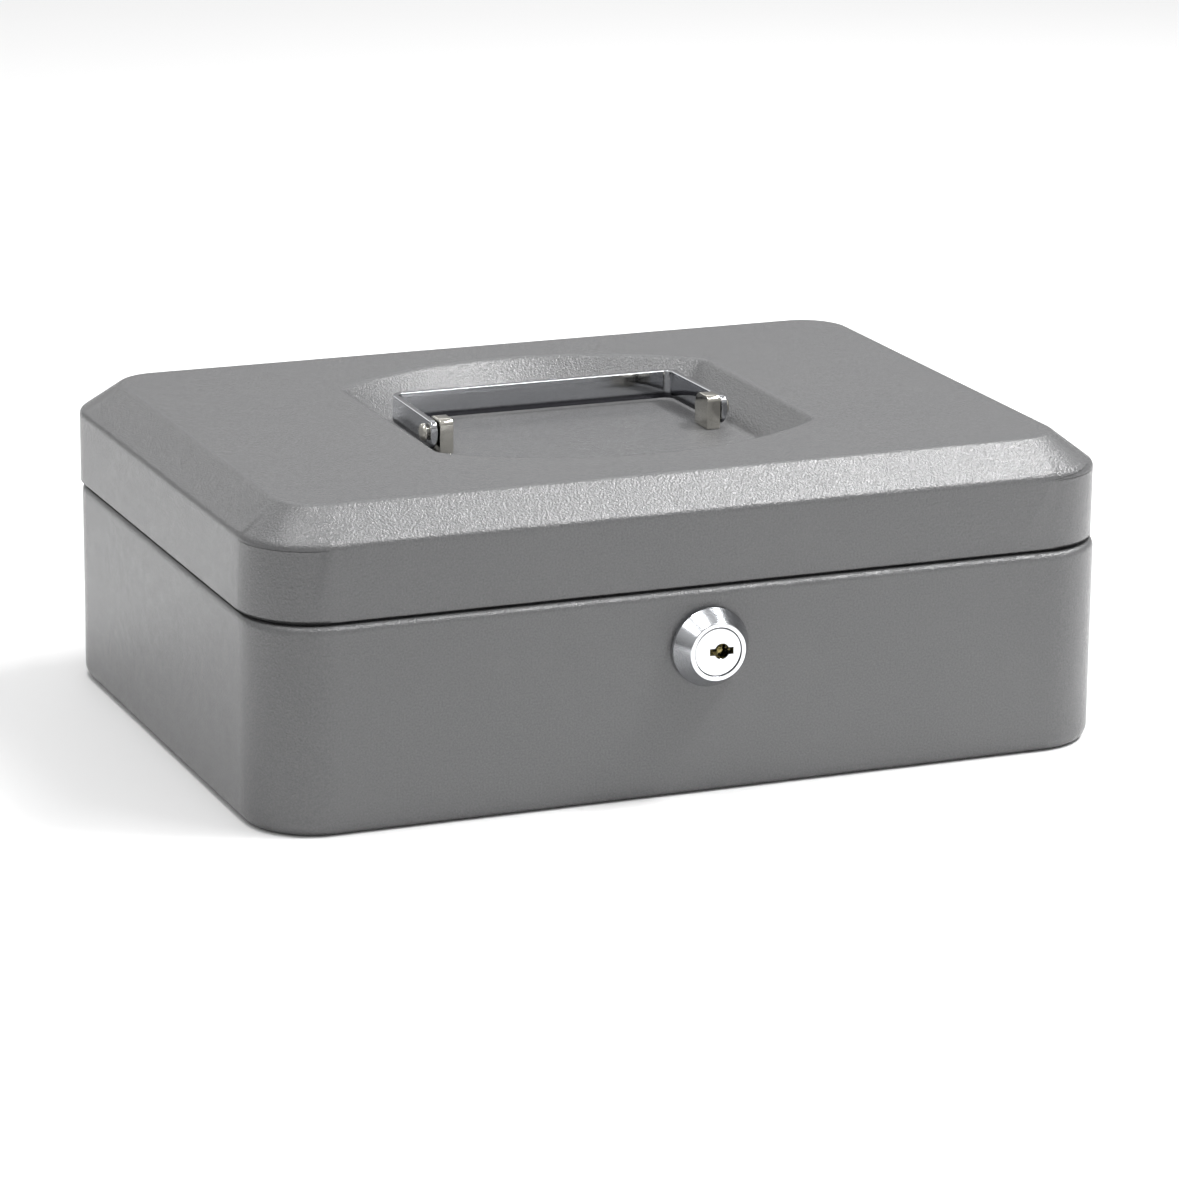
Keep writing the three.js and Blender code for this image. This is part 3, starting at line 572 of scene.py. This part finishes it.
def make_bail():
    """The folding handle: a flat plated strip on edge, bent to a U, with rounded leg ends."""
    low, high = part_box("handle_bail")
    tip_half = high.x - BAIL_THICKNESS / 2
    rear_half = BAIL_REAR_HALF - BAIL_THICKNESS / 2
    bend = arc(BAIL_REAR_HALF - BAIL_BEND_R, high.y - BAIL_BEND_R, BAIL_BEND_R - BAIL_THICKNESS / 2,
               0, math.pi / 2, 12)
    tip = Vector((tip_half, low.y))
    leg = Vector((rear_half, high.y - BAIL_BEND_R)) - tip
    near_tip = [0, 0.06, 0.2, 0.4, 0.7, 1, 1.35, 1.7, 2.1, 2.6, 3.1]
    shares = [reach * MM / leg.length for reach in near_tip] + [0.2, 0.4, 0.6, 0.8, 0.97]
    right = [tuple(tip + leg * share) for share in shares] + bend
    right += [(rear_half * share, high.y - BAIL_THICKNESS / 2) for share in (0.88, 0.5, 0.2)]
    path = right + [(-x, y) for x, y in reversed(right)]
    rings = []
    for i, (x, y) in enumerate(path):
        before, after = path[max(i - 1, 0)], path[min(i + 1, len(path) - 1)]
        along = (Vector(after) - Vector(before)).normalized()
        across = Vector((along.y, -along.x))
        section = strip_section(low.z + rounding(LEG_LOW_CORNER_R, y - low.y),
                                high.z - rounding(LEG_HIGH_CORNER_R, y - low.y))
        rings.append([Vector((x + across.x * u, y + across.y * u, z)) for u, z in section])
    bail = finish_piece(loft("handle_bail_fine", rings), "handle", "chrome", "handle_bail")
    bail.data.materials[0] = HANDLE_CHROME


def rounding(radius, from_tip):
    """How far a corner of the given radius cuts in at a distance from the tip."""
    return radius - math.sqrt(max(radius**2 - max(radius - from_tip, 0) ** 2, 0))


def strip_section(low, high):
    """The strip's section as (offset, height) pairs: broken top edges and a full round underside."""
    half = BAIL_THICKNESS / 2
    edge, under = 0.35 * MM, min(1.5 * MM, (high - low) / 2.2)
    top = [point for u, start in ((half - edge, 0), (edge - half, math.pi / 2))
           for point in arc(u, high - edge, edge, start, start + math.pi / 2, 4)]
    bottom = [(half * math.cos(a), low + under + under * math.sin(a))
              for a in (math.pi * (1 + i / 12) for i in range(13))]
    return top + bottom


def make_lugs():
    """The two handle lugs, each with its backing plate inside the lid and its pivot pin."""
    recess_floor = LID_HIGH.z - RECESS_DEPTH
    lug_rear_r, lug_front_r = 4 * MM, 1.8 * MM
    shank_r, head_side = 1.5 * MM, 0.7 * MM
    for side, sign in (("left", -1), ("right", 1)):
        low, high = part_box("handle_lug_" + side)
        centre_x, centre_y = (low.x + high.x) / 2, (low.y + high.y) / 2
        foot = recess_floor + 0.1 * MM
        outline = [(low.y, foot), (high.y, foot)]
        outline += arc(high.y - lug_rear_r, high.z - lug_rear_r, lug_rear_r, 0, math.pi / 2, 10)
        outline += arc(low.y + lug_front_r, high.z - lug_front_r, lug_front_r, math.pi / 2, math.pi, 6)
        lug = prism("handle_lug_fine_" + side, outline, "X", low.x, high.x, 0.25 * MM)
        stem = rectangle(centre_x, centre_y, 0.9 * MM, 3 * MM)
        combine(lug, prism("stem", stem, "Z", low.z + 0.5 * MM, foot + 1 * MM, 0.1 * MM), "UNION")
        tail = rectangle(centre_x, centre_y, min(2 * MM, high.x - centre_x), 4 * MM)
        combine(lug, prism("tail", tail, "Z", low.z, low.z + 1.5 * MM, 0.4 * MM), "UNION")
        finish_piece(lug, "lid", "nickel", "handle_lug_" + side)

        low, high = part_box("lug_backing_plate_" + side)
        outline = rounded_rectangle(low.x, high.x, low.y, high.y, 2 * MM, 6)
        plate = prism("lug_backing_plate_fine_" + side, outline, "Z", low.z, high.z, 0.25 * MM)
        finish_piece(plate, "lid", "zinc_steel", "lug_backing_plate_" + side)

        low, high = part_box("handle_pivot_pin_" + side)
        inner, outer = sorted((abs(low.x), abs(high.x)))
        seat = outer - 1.7 * MM
        head_r, edge = (high.y - low.y) / 2, 0.2 * MM
        profile = [(0, inner), (shank_r - edge, inner), (shank_r, inner + edge), (shank_r, seat)]
        profile += [(head_r - edge, seat), (head_r, seat + edge), (head_r, seat + head_side)]
        profile += dome(head_r, seat + head_side, 1 * MM, (0.3, 0.6, 0.9, 1.2, math.pi / 2))
        pin = turned("handle_pivot_pin_fine_" + side, [(r, sign * x) for r, x in profile],
                     (0, (low.y + high.y) / 2, (low.z + high.z) / 2), "X", 40)
        finish_piece(pin, "lid", "nickel", "handle_pivot_pin_" + side)


# ---- lock ----
# The keyway is a flat slot across a round hole, and its centre is a little to the right of the plug's.
KEYWAY_OFFSET = 1.1 * MM
SLOT_HALF_WIDTH = 3.45 * MM
SLOT_HALF_HEIGHT = 0.95 * MM
KEYWAY_HOLE_R = 2.15 * MM


def make_lock():
    """The lock, front to back: coned collar with a flat face, plug, nut, washer, cam and screw."""
    seat = BASE_LOW.y - 0.3 * MM
    bore, face_r, barrel_r = 6.85 * MM, 8 * MM, 7.8 * MM
    outer, rim = (COLLAR_HIGH.x - COLLAR_LOW.x) / 2, 1.4 * MM
    section = filleted([
        ((bore, COLLAR_HIGH.y), 0),
        ((bore, COLLAR_LOW.y), 0.15 * MM),
        ((face_r, COLLAR_LOW.y), 0.4 * MM),
        ((outer, seat - rim), 0.7 * MM),
        ((outer, seat), 0.2 * MM),
        ((barrel_r, seat), 0.05 * MM),
        ((barrel_r, COLLAR_HIGH.y), 0.3 * MM),
        ((bore, COLLAR_HIGH.y), 0),
    ], steps=8, margin=0.08 * MM)
    collar = turned("lock_collar_fine", section[:-1], (LOCK_X, 0, LOCK_Z), "Y", 96, closed=True)
    finish_piece(collar, "base", "chrome", "lock_collar")
    collar.data.materials[0] = SHADED_TURNED_CHROME
    collar.data.materials.append(FINISHES["chrome"])
    # Painted shade: the cone and bore take the darker turned chrome, and the flat front and back faces
    # take the bright chrome.
    for polygon in collar.data.polygons:
        faces_front_or_back = abs(polygon.normal.y) > 0.8
        polygon.material_index = 1 if faces_front_or_back else 0
    make_plug(COLLAR_LOW.y + 0.3 * MM)
    make_nut()
    make_cam()


def keyhole(angle):
    """Distance from the keyway's centre to its edge."""
    across, up = abs(math.cos(angle)), abs(math.sin(angle))
    slot = min(SLOT_HALF_WIDTH / max(across, 1e-6), SLOT_HALF_HEIGHT / max(up, 1e-6))
    return max(slot, KEYWAY_HOLE_R)


def plug_circle(radius):
    """Distance from the keyway's centre to a circle about the plug's own centre."""
    def reach(angle):
        across, up = KEYWAY_OFFSET * math.cos(angle), KEYWAY_OFFSET * math.sin(angle)
        return math.sqrt(radius**2 - up**2) - across
    return reach


def make_plug(face):
    """The turning plug with its keyway and the post in it, and a round spindle through the cam."""
    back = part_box("lock_plug")[1].y
    slot_corner = math.atan2(SLOT_HALF_HEIGHT, SLOT_HALF_WIDTH)
    slot_root = math.asin(SLOT_HALF_HEIGHT / KEYWAY_HOLE_R)
    close = 0.004
    marks = [0, slot_corner / 2, slot_corner - close, slot_corner + close,
             (slot_corner + slot_root) / 2, slot_root - close, slot_root + close]
    marks += [slot_root + (math.pi / 2 - slot_root) * share for share in (0.17, 0.33, 0.5, 0.67, 0.83)]
    half = marks + [math.pi / 2] + [math.pi - mark for mark in reversed(marks)]
    angles = half[:-1] + [math.pi + mark for mark in half[:-1]]
    centre_x = LOCK_X + KEYWAY_OFFSET

    def ring(reach, y, grow=0):
        spokes = [(reach(a) + grow, a) for a in angles]
        return [Vector((centre_x + r * math.cos(a), y, LOCK_Z + r * math.sin(a))) for r, a in spokes]

    radius, edge, spindle_r = 6.7 * MM, 0.2 * MM, 2.6 * MM
    keyway_end, body_end = face + 14 * MM, BASE_LOW.y + 16 * MM
    rings = [
        ring(lambda angle: 0.4 * MM, keyway_end), ring(keyhole, keyway_end),
        ring(keyhole, face + 0.12 * MM), ring(keyhole, face, 0.1 * MM), ring(keyhole, face, 0.3 * MM),
        ring(plug_circle(radius - edge - 0.3 * MM), face), ring(plug_circle(radius - edge), face),
        ring(plug_circle(radius - 0.3 * edge), face + 0.3 * edge),
        ring(plug_circle(radius), face + edge), ring(plug_circle(radius), body_end),
        ring(plug_circle(spindle_r), body_end), ring(plug_circle(spindle_r - 0.1 * MM), back),
    ]
    finish_piece(loft("lock_plug_fine", rings), "lock", "chrome", "lock_plug")
    low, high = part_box("keyway_post")
    post_r, tip_length = 1 * MM, 0.5 * MM
    profile = [(post_r * math.sin(a), low.y + tip_length * (1 - math.cos(a)))
               for a in (0, 0.4, 0.8, 1.2, 1.57)]
    profile += [(post_r, high.y), (0, high.y)]
    post = turned("keyway_post_fine", profile, (centre_x, 0, LOCK_Z), "Y", 32)
    finish_piece(post, "lock", "brass", "keyway_post")


def make_nut():
    """A hexagon nut with its corners turned off at both faces."""
    low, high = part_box("lock_nut")
    corner_r, bore = (high.z - low.z) / 2, LOCK_HOLE_R
    flat = corner_r * math.cos(math.pi / 6)
    slope, bore_edge = 0.7 * MM, 0.3 * MM
    count = 72

    def hexagon(limit, y):
        """The hexagon at y, with its corners cut back to a circle of radius limit."""
        ring = []
        for i in range(count):
            angle = 2 * math.pi * i / count + math.pi / 6
            reach = min(flat / math.cos(angle % (math.pi / 3) - math.pi / 6), limit)
            ring.append(Vector((LOCK_X + reach * math.sin(angle), y, LOCK_Z + reach * math.cos(angle))))
        return ring

    rings = [hexagon(bore + bore_edge, low.y), hexagon(flat, low.y), hexagon(corner_r, low.y + slope),
             hexagon(corner_r, high.y - slope), hexagon(flat, high.y), hexagon(bore + bore_edge, high.y),
             hexagon(bore, high.y - bore_edge), hexagon(bore, low.y + bore_edge)]
    finish_piece(loft("lock_nut_fine", rings, closed=True), "base", "zinc_steel", "lock_nut")


def make_cam():
    """The stop washer, cam and screw on the plug's back end."""
    low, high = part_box("lock_stop_washer")
    radius, tab_half = high.z - LOCK_Z, 1.5 * MM
    start = math.asin(tab_half / radius)
    outline = arc(LOCK_X, LOCK_Z, radius, start - math.pi / 2, 1.5 * math.pi - start, 40)
    outline += [(LOCK_X - tab_half, low.z), (LOCK_X + tab_half, low.z)]
    finish_piece(prism("lock_stop_washer_fine", outline, "Y", low.y, high.y, 0.15 * MM),
                 "lock", "zinc_steel", "lock_stop_washer")

    low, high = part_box("lock_cam")
    hub, half = LOCK_Z - low.z, 4 * MM
    neck = math.asin(half / hub)
    outline = arc(LOCK_X, LOCK_Z, hub, math.pi / 2 + neck, 2.5 * math.pi - neck, 36)
    outline += arc(LOCK_X, high.z - half, half, 0, math.pi, 20)
    finish_piece(prism("lock_cam_fine", outline, "Y", low.y, high.y, 0.25 * MM),
                 "lock", "zinc_steel", "lock_cam")

    low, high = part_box("lock_cam_screw")
    head, side, crown = high.y - 2.4 * MM, 1.2 * MM, 1.2 * MM
    shank_r, head_r, edge = 1 * MM, 4.2 * MM, 0.2 * MM
    profile = [(0, low.y), (shank_r - edge, low.y), (shank_r, low.y + edge), (shank_r, head),
               (head_r - edge, head), (head_r, head + edge), (head_r, head + side)]
    profile += dome(head_r, head + side, crown, (0.35, 0.7, 1.05, 1.57))
    screw = turned("lock_cam_screw_fine", profile, (LOCK_X, 0, LOCK_Z), "Y", 40)
    outline = rectangle(LOCK_X, LOCK_Z, 5 * MM, 0.45 * MM)
    slot = prism("slot", outline, "Y", high.y - 1.2 * MM, high.y + 1 * MM, 0)
    finish_piece(combine(screw, slot, "DIFFERENCE"), "lock", "zinc_steel", "lock_cam_screw")


# ---- hinges, rivets and catch ----
HINGE_AXIS = (94.3 * MM, 57.9 * MM)
KNUCKLE_R = 2.3 * MM
LEAF_SHEET = 1 * MM
LEAF_CORNER_R = 1.5 * MM
LID_KNUCKLE_HALF = 6 * MM
BASE_KNUCKLE_FROM = 6.4 * MM


def knuckle(name, start, end):
    """A hinge knuckle with softened ends, along X about the hinge axis."""
    edge = 0.25 * MM
    profile = [(0, start), (KNUCKLE_R - edge, start), (KNUCKLE_R, start + edge), (KNUCKLE_R, end - edge),
               (KNUCKLE_R - edge, end), (0, end)]
    return turned(name, profile, (0, *HINGE_AXIS), "X", 32)


def make_hinges():
    """Two hinges: a base leaf with two knuckles, a lid leaf with one between them, and a pin."""
    axis_y, axis_z = HINGE_AXIS
    for side in ("left", "right"):
        low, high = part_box("hinge_base_leaf_" + side)
        centre, back = (low.x + high.x) / 2, low.y + LEAF_SHEET
        outline = rounded_rectangle(low.x, high.x, low.z, 53.5 * MM, LEAF_CORNER_R, 5)
        leaf = prism("hinge_base_leaf_fine_" + side, outline, "Y", low.y, back, 0.2 * MM)
        web = [(low.y, 52.5 * MM), (back, 52.5 * MM), (back + 0.8 * MM, 53.6 * MM),
               (axis_y + 1.2 * MM, 56 * MM), (axis_y, axis_z), (axis_y - 2.1 * MM, axis_z),
               (low.y + 0.5 * MM, 55 * MM)]
        for start, end in ((low.x, centre - BASE_KNUCKLE_FROM), (centre + BASE_KNUCKLE_FROM, high.x)):
            combine(leaf, prism("web", web, "X", start + 0.1 * MM, end - 0.1 * MM, 0.15 * MM), "UNION")
            combine(leaf, knuckle("curl", start, end), "UNION")
        finish_piece(leaf, "base", "grey_coating", "hinge_base_leaf_" + side)

        low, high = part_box("hinge_lid_leaf_" + side)
        front = LID_HIGH.y + 0.4 * MM
        outline = rounded_rectangle(low.x, high.x, 60.9 * MM, high.z, LEAF_CORNER_R, 5)
        leaf = prism("hinge_lid_leaf_fine_" + side, outline, "Y", front, front + LEAF_SHEET, 0.2 * MM)
        start, end = centre - LID_KNUCKLE_HALF, centre + LID_KNUCKLE_HALF
        tongue = rounded_rectangle(start, end, axis_z, 62.5 * MM, 0.3 * MM, 2)
        combine(leaf, prism("tongue", tongue, "Y", front, front + LEAF_SHEET, 0.1 * MM), "UNION")
        combine(leaf, knuckle("curl", start, end), "UNION")
        finish_piece(leaf, "lid", "grey_coating", "hinge_lid_leaf_" + side)

        low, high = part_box("hinge_pin_" + side)
        shank_r, head_r, edge, head = 1.2 * MM, 1.9 * MM, 0.25 * MM, 0.9 * MM
        half = [(shank_r, low.x + head), (head_r, low.x + head), (head_r, low.x + edge),
                (head_r - edge, low.x), (0, low.x)]
        profile = half[::-1] + [(radius, 2 * centre - x) for radius, x in half]
        pin = turned("hinge_pin_fine_" + side, profile, (0, *HINGE_AXIS), "X", 32)
        finish_piece(pin, "base", "zinc_steel", "hinge_pin_" + side)


def make_rivets():
    """Round-headed rivets through the rear walls and the hinge leaves, upset inside the box."""
    shank_r, tail_r, tail, crown = 1.4 * MM, 2.5 * MM, 1 * MM, 1.35 * MM
    for body in ("base", "lid"):
        for i in range(1, 5):
            name = f"{body}_rivet_{i}"
            low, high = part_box(name)
            radius, head = (high.x - low.x) / 2, high.y - 1.5 * MM
            rim = head + 0.15 * MM
            centre = ((low.x + high.x) / 2, 0, (low.z + high.z) / 2)
            profile = [(0, low.y), (tail_r - 0.3 * MM, low.y), (tail_r, low.y + 0.3 * MM),
                       (tail_r, low.y + tail), (shank_r, low.y + tail), (shank_r, head),
                       (radius, head), (radius, rim)]
            profile += dome(radius, rim, crown, (0.25, 0.5, 0.75, 1, 1.25, math.pi / 2))
            finish_piece(turned(name + "_fine", profile, centre, "Y", 32), body, "zinc_steel", name)


def make_catch():
    """The folded steel strip under the lid that the cam turns behind."""
    low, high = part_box("lid_catch")
    t, bend_r = 1.2 * MM, 1.5 * MM
    arm, hanger, shelf = 68 * MM, -78 * MM, low.z
    outer = filleted([((low.y, high.z, 0), 0), ((low.y, arm, 0), bend_r), ((hanger, arm, 0), bend_r - t),
                      ((hanger, shelf, 0), bend_r), ((high.y, shelf, 0), 0)], 4, 0.05 * MM)
    inner = filleted([((high.y, shelf + t, 0), 0), ((hanger + t, shelf + t, 0), bend_r - t),
                      ((hanger + t, arm + t, 0), bend_r), ((low.y + t, arm + t, 0), bend_r - t),
                      ((low.y + t, high.z, 0), 0)], 4, 0.05 * MM)
    outline = [(point.x, point.y) for point in outer + inner]
    finish_piece(prism("lid_catch_fine", outline, "X", low.x, high.x, 0.15 * MM),
                 "lid", "zinc_steel", "lid_catch")


# ---- tray ----
TRAY_BODY_LOW, TRAY_BODY_HIGH = (-112 * MM, -60 * MM), (112 * MM, 81 * MM)
TRAY_WALL = 1.5 * MM
TRAY_BODY_CORNER_R = 8 * MM
TRAY_RIM_CORNER_R = 16 * MM
COIN_CUPS = 5
CUP_REAR_Y = 8 * MM


def tray_ring(low, high, inset, z, radius):
    """A rounded rectangle at height z between two (x, y) corners, moved in by inset."""
    outline = rounded_rectangle(low[0] + inset, high[0] - inset, low[1] + inset, high[1] - inset,
                                max(radius - inset, 0.5 * MM), 8)
    return at_height(outline, z)


def make_tray():
    """The moulded tray: a rim, five scooped coin cups and two rear compartments."""
    low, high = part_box("coin_tray")
    rim_under = high.z - 1.6 * MM
    body = [(1.5 * MM, low.z), (0.4 * MM, low.z + 0.4 * MM), (0, low.z + 1.5 * MM), (0, rim_under)]
    rim = [(0.3 * MM, rim_under), (0, rim_under + 0.3 * MM), (0, high.z - 0.6 * MM),
           (0.18 * MM, high.z - 0.18 * MM), (0.6 * MM, high.z)]
    rings = [tray_ring(TRAY_BODY_LOW, TRAY_BODY_HIGH, inset, z, TRAY_BODY_CORNER_R)
             for inset, z in body]
    rings += [tray_ring(low, high, inset, z, TRAY_RIM_CORNER_R) for inset, z in rim]
    tray = loft("coin_tray_fine", rings)
    inner = TRAY_BODY_HIGH[0] - TRAY_WALL
    front, rear = TRAY_BODY_LOW[1] + TRAY_WALL, TRAY_BODY_HIGH[1] - TRAY_WALL
    pitch = (2 * inner + TRAY_WALL) / COIN_CUPS
    cup_scoop, rear_scoop = 9 * MM, 4 * MM
    pockets = [(-inner + i * pitch, -inner + (i + 1) * pitch - TRAY_WALL, front, CUP_REAR_Y, cup_scoop)
               for i in range(COIN_CUPS)]
    split = -inner + 3 * pitch
    pockets += [(-inner, split - TRAY_WALL, CUP_REAR_Y + TRAY_WALL, rear, rear_scoop),
                (split, inner, CUP_REAR_Y + TRAY_WALL, rear, rear_scoop)]
    for x0, x1, y0, y1, scoop in pockets:
        hollow = pocket((x0, y0), (x1, y1), low.z + TRAY_WALL, high.z, scoop)
        combine(tray, hollow, "DIFFERENCE")
    finish_piece(tray, "base", "tray_plastic", "coin_tray")


def pocket(low, high, floor, top, scoop):
    """The hollow of one compartment: rounded into the floor and flared slightly at the top edge."""
    scoop_corner_r, top_corner_r = 9.5 * MM, 5 * MM
    angles = [i * math.pi / 12 for i in range(7)]
    rings = [tray_ring(low, high, scoop * (1 - math.sin(a)), floor + scoop * (1 - math.cos(a)),
                       scoop_corner_r) for a in angles]
    flare = [(0, -0.5 * MM), (-0.15 * MM, -0.15 * MM), (-0.5 * MM, 0.001 * MM), (-0.5 * MM, 2 * MM)]
    rings += [tray_ring(low, high, inset, top + rise, top_corner_r) for inset, rise in flare]
    return loft("pocket", rings)


def make_rails():
    """The two angle rails that the tray's rim rests on."""
    for side, sign in (("left", -1), ("right", 1)):
        low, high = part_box("tray_rail_" + side)
        wall, inner = max(abs(low.x), abs(high.x)), min(abs(low.x), abs(high.x))
        t, bend_r = 1 * MM, 1.6 * MM
        outer = filleted([((wall, low.z, 0), 0), ((wall, high.z, 0), bend_r),
                          ((inner, high.z, 0), 0)], 6, 0.05 * MM)
        under = filleted([((inner, high.z - t, 0), 0), ((wall - t, high.z - t, 0), bend_r - t),
                          ((wall - t, low.z, 0), 0)], 6, 0.05 * MM)
        outline = [(sign * point.x, point.y) for point in outer + under]
        rail = prism("tray_rail_fine_" + side, outline, "Y", low.y, high.y, 0.15 * MM)
        finish_piece(rail, "base", "zinc_steel", "tray_rail_" + side)


# ---- stage and light ----
FLOOR_HALF = 6.0
# The world's grey, as (place along the sky direction, grey) at the two ends of its rise.
SKY_DIRECTION = (-0.1, 0, 0.99)
SKY_STOPS = [(0.1, 0.28), (0.5, 0.6)]
BOX_CENTRE = (0, 0, 0.05)
# Name, place, the point it faces, width and height in metres, watts.
SOFTBOXES = [
    ("overhead_softbox", (0.68, -0.1, 1.1), BOX_CENTRE, (0.78, 0.16), 15.5),
    ("front_softbox", (0.46, -0.42, 1.05), BOX_CENTRE, (0.46, 0.18), 4.5),
    ("wide_softbox", (-0.15, 0.0, 1.1), BOX_CENTRE, (0.5, 0.2), 1.8),
    ("corner_spot", (-0.26, 0.0, 1.1), BOX_CENTRE, (0.12, 0.2), 3.2),
    ("background_wash", (0.8, 2.8, 2.2), (0.8, 2.8, 0), (1.6, 1.0), 10),
    ("back_softbox", (-0.6, 2.3, 1.0), BOX_CENTRE, (0.9, 0.7), 2.8),
    ("left_strip", (-0.85, -0.1, 1.0), (0, -0.05, 0.05), (0.1, 0.3), 0.8),
]


def make_floor():
    data = bpy.data.meshes.new("floor")
    corners = [(x, y, 0) for x, y in rectangle(0, 0, FLOOR_HALF, FLOOR_HALF)]
    data.from_pydata(corners, [], [(0, 1, 2, 3)])
    floor = bpy.data.objects.new("floor", data)
    bpy.context.scene.collection.objects.link(floor)
    s = Shader("floor_card", Roughness=0.9)
    s.colour(s.mix(s.noise(3, 2, 0.5), (0.86, 0.86, 0.86), (0.88, 0.88, 0.88)))
    data.materials.append(s.material)


def area_light(name, place, target, size, power):
    data = bpy.data.lights.new(name, "AREA")
    data.shape = "RECTANGLE"
    data.size, data.size_y = size
    data.energy = power
    light = bpy.data.objects.new(name, data)
    light.location = place
    light.rotation_mode = "QUATERNION"
    light.rotation_quaternion = (Vector(target) - Vector(place)).to_track_quat("-Z", "Y")
    bpy.context.scene.collection.objects.link(light)


def make_light():
    """A grey studio sky that is darker near the horizon, and the softboxes."""
    world = bpy.data.worlds.new("studio")
    bpy.context.scene.world = world
    world.use_nodes = True
    tree = world.node_tree
    direction = tree.nodes.new("ShaderNodeTexCoord").outputs["Generated"]
    height = tree.nodes.new("ShaderNodeVectorMath")
    height.operation = "DOT_PRODUCT"
    tree.links.new(direction, height.inputs[0])
    height.inputs[1].default_value = SKY_DIRECTION
    ramp = tree.nodes.new("ShaderNodeValToRGB")
    tree.links.new(height.outputs["Value"], ramp.inputs["Fac"])
    for element, (position, grey) in zip(ramp.color_ramp.elements, SKY_STOPS):
        element.position = position
        element.color = (grey, grey, grey, 1)
    background = tree.nodes["Background"]
    tree.links.new(ramp.outputs["Color"], background.inputs["Color"])
    background.inputs["Strength"].default_value = 1.0
    for softbox in SOFTBOXES:
        area_light(*softbox)
    bpy.context.scene.view_settings.view_transform = "Standard"


make_camera()
make_base_shell()
make_lid_shell()
make_bail()
make_lugs()
make_lock()
make_hinges()
make_rivets()
make_catch()
make_tray()
make_rails()
# The CAD nodes that nothing replaces, the wafers in the keyway, get the finish of their slot.
for name, node in frame["nodes"].items():
    if not node.hide_render:
        node.data.materials.clear()
        node.data.materials.append(FINISHES[SLOT_OF[name]])
make_floor()
make_light()
